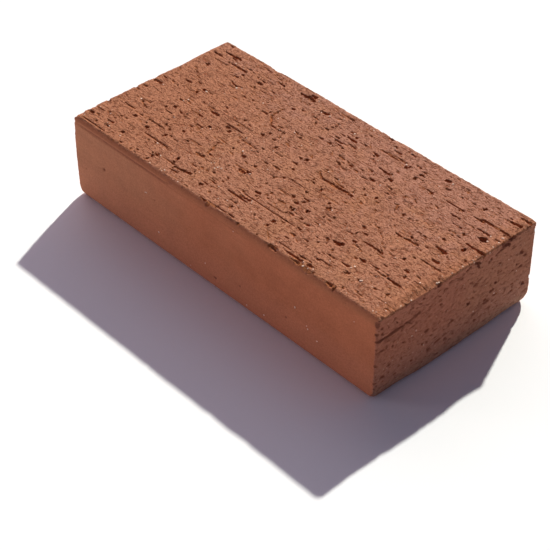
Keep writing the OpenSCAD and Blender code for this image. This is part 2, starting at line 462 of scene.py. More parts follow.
    (30.5, 46.2, 1, 1), (28, 44.8, 9.5, 1.1, -6), (19.5, 43.5, 14, 0.9, -3), (38.2, 41.2, 2.4, 2.1),
    (40, 43, 1.2, 2.2), (48.3, 42.5, 3, 2), (48, 38.2, 2.4, 2.2), (48, 45, 3, 1.2), (50, 39.3, 4, 0.9),
    (47, 32.5, 1.5, 1.2), (38, 36, 2.5, 1.1, -8), (40.5, 27.5, 3, 2, -10), (40, 24.2, 1.2, 1),
    (43, 22.8, 6, 0.9, -8), (7.5, 23.8, 6, 1.6, -10), (13.8, 23.6, 4, 1, -25), (18, 21.8, 2.6, 2.2, -20),
    (22, 23.5, 5, 1, -10), (25.3, 23, 1.5, 1.6), (21, 20.6, 4, 0.9), (24.3, 20, 1.5, 1.3),
    (3, 24.3, 4.5, 0.9, -50), (10.3, 19, 4.5, 1.3, -12), (15.5, 17.3, 3, 0.8, -20),
    (17.8, 16.8, 2.5, 1.2, 40), (33.5, 20.6, 3.5, 2), (28, 18.6, 6, 0.9, 3), (47, 17.7, 3.5, 1.1, 3),
    (46, 20.8, 3, 0.9, -20), (52, 16, 1.6, 1.4), (34.5, 16.2, 3, 0.9), (40.5, 15.3, 1.3, 1),
    (37.5, 12, 1.3, 1.8), (47.2, 11.5, 1.4, 2.1), (49, 9, 3, 1.3), (41, 8.8, 2, 1.4), (20, 8, 4, 1.5),
    (12.5, 9.9, 2, 1.3), (15, 11.2, 2, 1), (-1.2, 8.3, 2.2, 2.1), (-4, 7, 1.6, 1.4), (11.3, 6, 2, 1, -20),
    (13, 5.2, 3.5, 1.2, -25), (15.3, 3.1, 24, 2, 1), (19, 2.6, 10, 1.6), (23, 5.8, 8, 1, -4),
    (35.4, 5.8, 1.8, 1.4), (43.5, 3.5, 3.5, 1, -15), (44, 2.3, 2.5, 1.1), (-4, 1.6, 4, 1.4),
    (-2, 14, 3, 0.9, -50), (-3, 12, 4, 0.9, -5), (53.7, 3.6, 2, 1), (9.5, 40.6, 3, 0.9, -15),
    (61, 48.7, 3.5, 2.3), (75, 49, 1.6, 1.4), (65.3, 43, 3.8, 1.3, 8), (76.3, 43.3, 1.6, 1.1),
    (82, 43.8, 4.5, 0.8), (90.6, 44.6, 1.8, 2.4), (96.5, 47.5, 2.5, 0.9), (96.3, 45.2, 2, 0.8),
    (104, 48.3, 2.4, 1.1), (102, 45.4, 2, 0.7), (104, 46.2, 9.5, 1.9, 3), (107.5, 52.2, 7.5, 2.2, 2),
    (85, 38.5, 1.5, 0.9), (69, 37.8, 2.5, 0.8), (54, 35.2, 10, 0.9, -1), (62.7, 34.7, 2, 2),
    (71.5, 35.5, 14.5, 0.8), (84, 35.4, 2.2, 1.2), (82.5, 34.2, 1.6, 1.1), (91, 36, 8, 1.2, 1),
    (95, 37.3, 20, 1.5), (111, 35.2, 1.5, 1), (87.5, 33, 2.5, 0.6, -15), (96.2, 29.2, 2.5, 1.2),
    (98, 29.8, 10, 1.3, 2), (108.5, 29.9, 6, 0.9), (81, 29.2, 7.5, 1.3), (71, 29.2, 4, 1, -25),
    (69, 28, 1.6, 1.1), (58, 25.5, 3, 1), (61, 24.8, 4, 1.1, -25), (56, 23.2, 1.5, 1.5),
    (87.5, 24, 7, 1.2, 1), (95.5, 23.3, 2, 0.9), (97, 21.5, 1.8, 1.5, -20), (104.7, 25, 4.6, 3.6),
    (103.3, 27.3, 1.6, 1), (57.5, 19.7, 8, 0.9, 2), (90, 18.5, 2, 0.9), (92, 19, 3.4, 1.3),
    (96, 18, 3, 0.9), (103, 17, 13, 1.9), (93.5, 16.8, 1.8, 0.9), (97, 15.2, 5, 0.6, -5),
    (102, 14.2, 2, 0.8, -20), (57.5, 14.6, 2.6, 1.5), (65.3, 11.3, 2.8, 1.7, -8), (76.5, 14.6, 5, 0.8),
    (85.5, 14.7, 1.5, 0.8), (73.5, 12.6, 1.8, 0.8), (70.5, 10.5, 1.3, 1), (82.5, 12.3, 3, 0.9),
    (93, 11.3, 2.2, 1.6, 5), (105, 12.2, 1.8, 2.2), (62.5, 6.8, 1.5, 0.9), (111, 6.6, 2, 1.6),
    (114, 6, 1.3, 1), (80, 6, 4, 0.9, 6), (84, 6.4, 4, 0.9, -8), (95, 4.8, 8, 2, -5), (94, 2.5, 8, 1),
    (81.3, 0.8, 2, 1.7, 20), (84.5, 1, 1.5, 1), (69, 1.8, 2.6, 1, -20), (91, 0.5, 3, 1), (65, 4.7, 2, 0.8),
    (112, 0.5, 2, 0.8),
    # Front right
    (13.8, -1, 1.6, 1.8), (14.5, -2.6, 3.2, 1, -10), (11.8, -4.2, 3, 1.3), (0.5, -2.7, 1.5, 1.6),
    (2, -4.4, 1.2, 1), (23, -4.3, 2, 1.9), (21, -2.7, 1.5, 0.8), (39, -2.8, 1.6, 1.2, -20),
    (46.5, -3.7, 3, 0.8), (19.5, -6.8, 22, 0.6, 1), (4, -9.6, 14, 0.7), (1.8, -11.3, 2.6, 1.5, -8),
    (-1.2, -14.4, 2, 1.9), (19.3, -11.2, 2.2, 1.4), (10.8, -13.8, 2, 1), (26, -9.5, 2.5, 0.8),
    (34.3, -9.5, 1.3, 2.2), (38.8, -10.3, 1.8, 1.1), (35.3, -12.9, 4.5, 1.8), (37.3, -11.6, 1.3, 1.6),
    (22.5, -15.5, 4.7, 1.2, -6), (17.4, -18.5, 2.5, 1.6), (23.8, -18.3, 3, 2), (22.3, -21.2, 2, 1.9),
    (7, -19.2, 7, 1.1, -2), (31, -22, 1.8, 2.4), (32.5, -21.4, 1.4, 1), (44, -16, 2, 1.5, -10),
    (40, -19.4, 1.8, 1.3), (43.5, -19.4, 3, 1.1), (46.5, -20.3, 3, 0.6, -30), (51, -15, 2.4, 1.1),
    (0.3, -20.8, 1.2, 2.2), (8.1, -24.6, 1.2, 1.8), (7.3, -27.3, 2, 1), (14.8, -26.3, 5.5, 1.4, 4),
    (23.4, -26, 1.4, 1.6), (25.6, -26, 1.5, 2.6), (27.5, -27.3, 3, 0.8), (1.7, -29.8, 4, 1.9, 5),
    (10, -29.2, 1.8, 1.1), (15, -29.6, 2.5, 1), (4.5, -32.2, 1.6, 1.2, -10), (6.5, -32.7, 1.5, 1.2),
    (13, -31.9, 12.5, 0.8, 1), (25, -30.4, 1.2, 1.8), (26, -29.2, 4.5, 1.2, -3), (33.5, -28.4, 2.5, 1.5),
    (32, -30.6, 6, 0.7, 2), (37.8, -29.9, 3.8, 1.8, 8), (-1, -35.4, 38.5, 0.8, 0.4), (38.3, -34.8, 3, 1.4),
    (-1, -37.5, 3, 1.7), (2, -37.5, 2, 1.6), (4.5, -37.3, 2.4, 1.8), (28.5, -37, 3.5, 1, -5),
    (12, -38.2, 2.5, 1, -25), (25.3, -40, 2.6, 2.3), (38.8, -40.3, 4, 1.9), (47, -38.5, 3.5, 1.4),
    (39, -44, 3.4, 1.3), (44, -41.5, 3, 0.8, -20), (5.5, -45.2, 2.2, 1, -20), (16, -43.5, 1.5, 2),
    (19, -43.3, 3, 0.9), (18.8, -45.8, 1.6, 1), (26.2, -44.2, 1.4, 2.2), (0.8, -46.8, 4, 1),
    (2.8, -47.7, 1.3, 1.2), (2, -48.8, 2.5, 0.8), (29, -46, 9, 0.6, -40), (38, -48.3, 1.5, 0.9),
    (41, -49.3, 9, 0.7), (46.5, -51.3, 13.5, 1.6), (52.5, -53.7, 7.5, 1.4), (6, -52, 5.5, 1.4, -2),
    (-4, -52.6, 10, 0.9), (15, -54, 2, 1.4), (28.2, -53, 1.4, 1.5), (38.5, -54.3, 6.5, 2.4),
    (53, -35.5, 1.6, 1.1), (49.5, -32.5, 2.5, 1, -25), (44, -33, 1.6, 1), (40.5, -25.4, 4, 0.9),
    (53.5, -30, 2, 1.1, -15), (31.5, -17.8, 2.4, 0.8, -10), (74, -2.2, 5, 1.5), (79.5, -2.3, 10, 1.9, 5),
    (64.3, -5.3, 2.2, 1.5), (66, -6.3, 8, 0.7, -25), (59, -10.4, 2.8, 1.4), (100.3, -4.3, 4.8, 1.8),
    (96.7, -8.3, 13, 1.3), (93, -9.7, 2.4, 1.2), (91.3, -3.3, 1.5, 0.9), (62, -13.7, 5, 1),
    (70, -14.6, 3, 0.9), (74.5, -13.2, 2.4, 1), (77, -14.7, 2.8, 1), (80.5, -13.2, 3.5, 0.8),
    (83, -16.2, 4.4, 1.2), (90.8, -13.8, 1.4, 2.2), (101.5, -14, 3.5, 0.7), (56.5, -18.7, 5, 1.2, 5),
    (61, -16.8, 1, 1.8), (68, -18.5, 7, 1.7, 3), (73.5, -18.2, 8.5, 1.6, -3), (78.2, -16.8, 2.4, 0.8, -25),
    (78.5, -20.7, 6, 0.9), (97, -19.9, 3.8, 1.9), (103.8, -18.6, 3.4, 1.2, -12),
    (64.2, -22, 3.2, 1.7, -15), (66.5, -23.8, 4, 1.3), (70.5, -24, 3.2, 1, -10), (87, -23.8, 3.2, 1, -8),
    (100.3, -23.9, 1.8, 1.5), (99, -24.2, 6, 0.7), (105, -22.6, 10, 0.6), (58, -29.2, 5.8, 2.6, 6),
    (61.5, -28.3, 2.4, 2.8), (55, -31, 1.4, 2), (56.5, -33, 1.8, 1.2), (62.3, -34.5, 1.3, 1.5),
    (73.8, -30.6, 2.6, 1.3, 10), (76.3, -29.3, 3.8, 1.9), (83.7, -28.7, 5.6, 1.2, 2),
    (87, -30.2, 8.5, 1.2), (94, -28.8, 2, 1.3), (96, -30.3, 9.3, 1.8), (87, -33.6, 6, 0.9, 3),
    (101, -35, 2, 1), (62.8, -38.4, 6, 1.2), (72.3, -37.9, 6, 1.5, 4), (79, -41.7, 2.8, 1.6, 6),
    (59.5, -41, 2, 1), (87.3, -41.6, 1.2, 1.8), (103.8, -39.2, 1.8, 2.4), (96.5, -40.3, 2.5, 1.2),
    (62.7, -44.6, 2, 1.6), (63.5, -43.8, 9, 1.1), (71, -45, 2.5, 0.7, -15), (62, -47, 2.5, 1),
    (55, -48.9, 4.5, 1.4), (59.5, -48.8, 4, 1.1), (84, -44.7, 1.6, 0.9), (91, -48, 3.4, 1.4),
    (94.5, -48.5, 3.5, 1.2), (86, -50.8, 1.8, 1.5), (62.3, -51, 4, 2), (68, -53.3, 2.4, 1.2),
    (78, -53.5, 4.5, 1.8), (83.5, -54, 1.5, 2.2), (110.8, -46.8, 2, 1), (114, -37.2, 1.6, 1),
    (113, -35, 1.5, 0.8), (108, -25, 3, 0.8, 10),
)
# Cracks across the top, each as the points that it passes
TOP_CRACKS = (
    ((-43, 32.5), (-43.2, 27), (-43, 23.5), (-41.5, 21), (-38, 18), (-36, 16.2), (-25, 16)),
    ((-43, -15), (-42.5, -18), (-41, -20.8), (-40.8, -23), (-39.8, -25.5), (-35, -25.5)),
    ((-102, -18.5), (-99, -20.8), (-95, -21.5), (-94, -23)),
    ((59.5, 14.5), (60.5, 12), (61.8, 9.5)),
    ((-21.5, 35.5), (-20.5, 33)),
)
# The same for the header at +X: y and the height above the bed
HEADER_MARKS = (
    (-56.5, 39, 2.4, 1.6), (-56.2, 37.9, 19, 1.4, 3), (-38.5, 39.1, 12, 1.6, 7), (-36, 38.0, 8, 1.0, 12),
    (-35, 37.0, 5, 0.6, 10), (-56.5, 31, 6, 0.8), (-56.5, 22.9, 2, 1, -10), (-56.5, 33, 1.6, 0.9),
    (-56.5, 28.5, 1.6, 0.9), (-53.5, 45.5, 1.8, 1.3, -40), (-49, 45.6, 2.4, 1, -60),
    (-43.5, 45, 2.4, 1, -60), (-53, 41.8, 1.6, 2), (-56.5, 42.5, 1.6, 1.2), (-34.5, 46.4, 3, 1.1),
    (-29, 46.8, 3, 1, -20), (-26, 48, 2, 1, -30), (-31, 49.3, 1.8, 1.1), (-15.5, 50.3, 2.6, 2),
    (-7.5, 47.7, 2.4, 1.4, -15), (-12, 45.3, 4, 1), (-2, 46, 5, 1.4, -10), (-15, 43.8, 3, 1, -30),
    (-20.5, 40.2, 2, 1.2, -50), (-23.2, 38.4, 2.2, 1, -40), (-13.5, 37, 2, 1.3), (-13, 32.5, 2.5, 1),
    (-49.5, 30.8, 1.6, 1.2), (-45.5, 30, 1.5, 1.3), (-46, 27.2, 2.2, 1.2, -20), (-38.5, 27.9, 2, 1, -40),
    (-31.5, 28.3, 4.5, 0.9, -50), (-35, 22.9, 2.8, 0.9, -40), (-22.5, 25.3, 2.8, 1.9, 5),
    (-17.5, 24.5, 1.6, 1), (-9.5, 26, 1.6, 1), (-49, 18.8, 3.5, 1.4), (-38.8, 18.3, 1.4, 2.2),
    (-44.5, 17, 2, 1, -30), (-51.5, 13.5, 2, 1), (-43, 10.5, 2, 1.2), (-32, 12.6, 2.2, 1, -30),
    (-24.5, 18.7, 1.5, 1.5), (-21.5, 18, 1.2, 1.8), (-20.5, 12.2, 2.4, 1.4), (-15, 13.3, 5, 1.3, 12),
    (-10, 14.6, 5, 0.9, 8), (-6, 16.5, 2.2, 0.9, -45), (-5.5, 20.5, 4, 1.7, 12),
    (-10, 19.5, 2.2, 0.9, -20), (-56.5, 11.8, 1.6, 1.4), (3.5, 47.5, 5, 1.4, 25), (10, 49.8, 4, 1.6, -20),
    (12.3, 47.8, 2, 3), (13, 45.5, 2, 1.6, -40), (22, 45.6, 2.6, 1.5, -20), (21, 44, 1.5, 1, -20),
    (26, 46.1, 8, 1.7, 20), (33, 48.3, 4, 2.4), (30, 51, 2.4, 1.8), (36, 51, 5, 2, -10),
    (16.5, 51.3, 2.4, 1.6), (23.5, 38.8, 2.2, 1.5, -30), (29.5, 39.5, 1.6, 1.3), (38, 39.3, 1.5, 0.8),
    (11.5, 35.2, 2.4, 1.7), (13, 36, 5, 0.9, 20), (29.3, 33.3, 3.8, 1.5, 5), (27.3, 28.3, 2, 1.9),
    (24, 24, 2.2, 1.9), (26.2, 24.4, 1.5, 1.2), (45.5, 37.4, 3, 1.9, 15), (48, 34.3, 3, 1.3, -5),
    (46, 28.2, 2, 1.4, -30), (40.3, 28.7, 1.8, 0.9, -40), (43, 31, 1.3, 1), (7.5, 25.7, 2.2, 1.7),
    (11, 27.5, 1.6, 1.1), (20.3, 20.5, 2, 1.4), (20, 18.9, 4.5, 1.5, -5), (26.5, 20.1, 3, 1),
    (36, 24.6, 1.8, 0.8, -30), (40, 20.1, 2.8, 1.3, -15), (36, 19, 1.5, 0.9), (40.5, 15.3, 2.5, 1.4),
    (49.3, 15.4, 2, 1.8, -20), (29, 14.4, 2.2, 1, -40), (14, 11.3, 2.4, 1.5), (-1, 36.6, 3.2, 0.8, -30),
    (2.5, 38.6, 3.2, 0.9, -25), (7, 39.6, 5, 1, -30), (54.6, 47, 1.4, 3), (54.4, 17, 1.4, 3),
)
# Marks of the stretcher at -Y: x and the height above the bed
STRETCHER_MARKS = (
    (-113, 48.4, 78, 1.4), (-107, 47.6, 30, 0.6), (-62, 47.5, 38, 0.7), (-23, 48, 50, 0.8, -0.4),
    (-38, 49.5, 4, 1.6), (92.5, 49.3, 1.6, 1.2), (-56.5, 33, 4, 1), (-46, 12, 1.2, 1.2), (-59, 34, 1.4, 1),
    (-92, 29, 3, 1.8), (-107.5, 21, 1.2, 1.2), (-88, 41, 1.4, 1.2), (-49, 32, 2, 1.2),
    (-57, 20.5, 3, 0.8, 30), (-2, 8, 3, 2), (18, 14, 1.4, 1.2), (-20, 30, 1.4, 1), (60, 25.5, 1.2, 1.2),
    (52, 15, 2, 1.6), (84, 40.5, 1.4, 1), (40, 35, 2, 1),
)
# Pale grains on the top: x, y and the radius
TOP_GRAINS = (
    (-76, 26.8, 0.9), (-84.5, 12.2, 0.9), (-71, 46.4, 0.5), (-69.5, 46, 0.4), (-35.5, 51, 0.7),
    (-22, 38.6, 0.6), (-21, 45, 0.7), (-27, 44.5, 0.6), (-11.2, 43.2, 0.7), (-14, 49, 0.4),
    (-22.5, 20.5, 0.7), (-17, 19, 0.5), (-55, 27.5, 0.5), (-38.5, 23.3, 0.5), (0, 43, 0.6),
    (23.5, 49.3, 0.6), (38, 43.2, 0.7), (15, 9.3, 0.5), (41.5, 20.2, 0.6), (37.2, 5.3, 0.5),
    (43, 9.5, 0.5), (4.5, 53, 0.5), (9.5, 51.8, 0.5), (25.5, 35, 0.6), (66, 48.3, 0.7), (96, 42, 0.4),
    (109.6, 25.7, 0.7), (113, 33, 1.0), (103, 31.8, 0.5), (114, 29, 0.5), (114.6, 9.8, 0.6),
    (114.6, 17, 0.7), (114.4, 20, 0.7), (114.2, -14, 0.8), (114.3, 24.5, 0.7), (114.4, -33, 0.7),
    (114.3, -40, 0.6), (114.5, 2.5, 0.6), (114.5, -5, 0.5), (113.8, 13, 0.5), (-86, -3, 0.5),
    (-106, -0.7, 0.6), (-72.3, -3, 0.6), (-77, -17.2, 0.6), (-103.2, -40, 0.8), (-64.3, -39.2, 0.7),
    (-83.3, -49.2, 0.8), (-94, -48, 0.7), (-97.5, -46.5, 0.5), (-112, -51, 0.6), (-112, -40, 0.5),
    (-105.5, -37, 0.4), (-55.7, -10, 0.7), (-28.5, -11, 0.7), (-10.8, -22, 1.1), (-26.5, -30.3, 0.6),
    (-27, -32, 0.6), (-24.5, -29.5, 0.5), (-54.5, -45.3, 0.7), (-26, -7, 0.4), (-31.5, -24.3, 0.4),
    (-43.2, -52, 0.6), (-44, -53.3, 0.5), (-31, -53.4, 0.5), (-53.5, -53.4, 0.5), (7.5, -36.8, 0.5),
    (8.3, -38, 0.4), (-1.5, -45.7, 0.4), (13.5, -43, 0.5), (27.2, -26, 0.6), (40, -12.5, 0.5),
    (79, -37.6, 0.6), (81.4, -41.3, 0.4), (89.2, -41.2, 1.1), (60.5, -51.5, 0.8), (62, -53.3, 0.8),
    (66.6, -51, 0.6), (67.6, -52, 0.6), (65, -52.8, 0.6), (44, -53.5, 0.6), (105.4, -4.3, 0.6),
    (87.9, -16.5, 0.5), (112.5, -48, 0.5), (108.5, -52.5, 0.5), (110, -52, 0.4), (-88.5, 43, 0.4),
    (-33, 29.5, 0.3), (57, 41, 0.4), (70, -8, 0.3), (-95, 43.3, 0.5),
)
# Pale grains on the stretcher and on the header: x or y, the height above the bed, and the radius
STRETCHER_GRAINS = (
    (-45.7, 12.3, 0.6), (59.6, 25.8, 0.6), (75.5, 13.9, 0.5), (68.8, 17.4, 0.5), (14.5, 47, 0.4),
    (-8, 13.5, 0.4), (68, 19, 0.3), (100, 42, 0.3), (-55.5, 33.2, 0.4), (-54.5, 33.4, 0.4), (24, 5, 0.4),
    (-20, 5, 0.3), (37, 6.5, 0.4),
)
HEADER_GRAINS = (
    (-23, 17.7, 0.5), (-15, 51.2, 0.7), (9.5, 51.3, 0.6), (21, 51, 0.5), (-29, 30.5, 0.4),
    (-31.7, 28.6, 0.4), (28, 21.3, 0.4), (-35, 10, 0.4), (13, 18, 0.4), (44, 27, 0.3), (37, 38, 0.3),
)


# ---------- The six faces ----------


class Face(Enum):
    """A face of the brick: its outward normal."""

    TOP = (0, 0, 1)
    BED = (0, 0, -1)
    FRONT = (0, -1, 0)
    BACK = (0, 1, 0)
    LEFT = (-1, 0, 0)
    RIGHT = (1, 0, 0)


# How deep a placed tear is at least, in mm, how much the depths differ, and their seed
LEAST_DEPTH = 0.15
DEPTH_SPREAD = (0.65, 1.15)
DEPTH_SEED = 5
# A placed tear that is longer than this many widths is a scratch, which is as wide all along
SCRATCH = 12


def placed(rows: Iterable[Sequence[float]], rise: float = 0.0, depth: float = 0.6) -> list[Tear]:
    """Turns rows of numbers into tears.

    Args:
        rows: the rows, each with the place, the length, the width and, if it is turned, the turn.
        rise: what is taken off each height, in mm.
        depth: how deep a tear is for its width.

    Returns:
        The tears.
    """
    rng = np.random.default_rng(DEPTH_SEED)
    made = []
    for u, v, length, width, *turn in rows:
        lean = turn[0] if turn else 0.0
        deep = (LEAST_DEPTH + depth * width) * rng.uniform(*DEPTH_SPREAD)
        made.append(Tear(u, v - rise, length, width, deep, lean, even=length > SCRATCH * width))
    return made


@dataclass
class SkimmedTop:
    """The top face, which the fixed wire skims: its marks run along the brick."""

    length: float
    width: float
    step: float = 0.25
    seed: int = 11
    tear_ends: list[Tear] = field(default_factory=list)
    KINDS = (
        TearKind(900, (0.9, 2.6), (0.45, 0.8), (0.16, 0.5), 12.0),
        TearKind(240, (2.0, 5.5), (0.45, 0.8), (0.16, 0.5), 7.0),
        TearKind(20, (6.0, 16.0), (0.4, 0.6), (0.2, 0.4), 3.0, even=True),
    )
    # Each unevenness: how far it goes up and down, and its length along and across
    WAVES = ((0.03, 7.0, 1.1), (0.05, 1.3, 1.0), (0.12, 24.0, 14.0))
    # The pits of a crack: their distance, how far they stray, and their radius, depth and stretch
    CRACK_STEP, CRACK_STRAY = 0.9, 0.25
    CRACK_RADIUS, CRACK_DEPTH, CRACK_STRETCH = (0.3, 0.7), (0.5, 1.0), (1.0, 1.7)
    # The share of tears that end in a crumb, how far behind it lies, and its radius and height
    CRUMB_SHARE, CRUMB_GAP = 0.5, 0.4
    CRUMB_RADIUS, CRUMB_HEIGHT = (0.4, 0.8), (0.08, 0.28)

    def make(self) -> Relief:
        """Makes the face's relief.

        Returns:
            The relief, with u along the brick and v across it.
        """
        relief = Relief(self.length, self.width, self.step, self.seed)
        for kind in self.KINDS:
            self.tear_ends += relief.scatter(kind)
        marks = placed(TOP_MARKS)
        for mark in marks:
            relief.tear(mark)
        self.tear_ends += marks
        for points in TOP_CRACKS:
            self.crack(relief, points)
        self.raise_crumbs(relief)
        for wave in self.WAVES:
            relief.roughen(*wave)
        return relief

    def crack(self, relief: Relief, points: Sequence[tuple[float, float]]) -> None:
        """Cuts a crack as a string of small pits from point to point.

        Args:
            relief: the face.
            points: the places that it passes, in mm.
        """
        for (u0, v0), (u1, v1) in zip(points, points[1:]):
            count = max(1, round(math.hypot(u1 - u0, v1 - v0) / self.CRACK_STEP))
            for k in range(count):
                u = u0 + (u1 - u0) * k / count + relief.rng.uniform(-self.CRACK_STRAY, self.CRACK_STRAY)
                v = v0 + (v1 - v0) * k / count + relief.rng.uniform(-self.CRACK_STRAY, self.CRACK_STRAY)
                ranges = (self.CRACK_RADIUS, self.CRACK_DEPTH, self.CRACK_STRETCH)
                relief.pit(Pit(u, v, *(relief.rng.uniform(*limits) for limits in ranges)))

    def raise_crumbs(self, relief: Relief) -> None:
        """Pushes up the clay where a tear ends.

        Args:
            relief: the face.
        """
        for mark in self.tear_ends:
            if relief.rng.uniform() < self.CRUMB_SHARE:
                u = mark.u + mark.length + self.CRUMB_GAP
                radius = relief.rng.uniform(*self.CRUMB_RADIUS)
                relief.crumb(u, mark.v, radius, relief.rng.uniform(*self.CRUMB_HEIGHT))


@dataclass
class CutEnd:
    """A short end, which the moving wire cuts: its marks run across it and rise towards the back."""

    width: float
    height: float
    seed: int
    marks: Sequence[Tear] = ()
    more: float = 1.0
    step: float = 0.3
    WAVES = ((0.12, 6.0, 1.4, WIRE_LEAN), (0.08, 1.3, 1.0), (0.15, 22.0, 16.0))
    KINDS = (
        TearKind(240, (0.7, 2.4), (0.4, 0.75), (0.16, 0.42), 16.0),
        TearKind(50, (2.0, 5.0), (0.4, 0.75), (0.2, 0.42), 12.0),
        TearKind(5, (6.0, 12.0), (0.4, 0.7), (0.2, 0.4), 3.0, even=True),
    )

    def make(self) -> Relief:
        """Makes the face's relief.

        Returns:
            The relief, with u across the brick and v up it.
        """
        relief = Relief(self.width, self.height, self.step, self.seed)
        for kind in self.KINDS:
            relief.scatter(replace(kind, count=round(kind.count * self.more)), WIRE_LEAN)
        for mark in self.marks:
            relief.tear(mark)
        for wave in self.WAVES:
            relief.roughen(*wave)
        return relief


@dataclass
class DieSkin:
    """A face that slid along the die: nearly smooth, with faint lines along the brick and a few nicks."""

    length: float
    across: float
    seed: int
    marks: Sequence[Tear] = ()
    step: float = 0.3
    WAVES = ((0.04, 60.0, 1.6), (0.10, 30.0, 18.0))
    KINDS = (
        TearKind(40, (0.8, 2.0), (0.6, 1.2), (0.08, 0.2), 20.0),
        TearKind(10, (3.0, 14.0), (0.5, 0.8), (0.06, 0.12), 2.0, even=True),
    )

    def make(self) -> Relief:
        """Makes the face's relief.

        Returns:
            The relief, with u along the brick and v across the face.
        """
        relief = Relief(self.length, self.across, self.step, self.seed)
        for kind in self.KINDS:
            relief.scatter(kind)
        for mark in self.marks:
            relief.tear(mark)
        for wave in self.WAVES:
            relief.roughen(*wave)
        return relief


# ---------- The brick's mesh ----------


@dataclass(frozen=True)
class Chip:
    """A bite out of an edge or a corner of the brick.

    It is centred at (x, y, z), reaches that far round it along each axis, and moves the skin by move. A torn
    chip shows the rough inside of the clay. All in mm.
    """

    at: tuple[float, float, float]
    reach: tuple[float, float, float]
    move: tuple[float, float, float]
    torn: bool = False


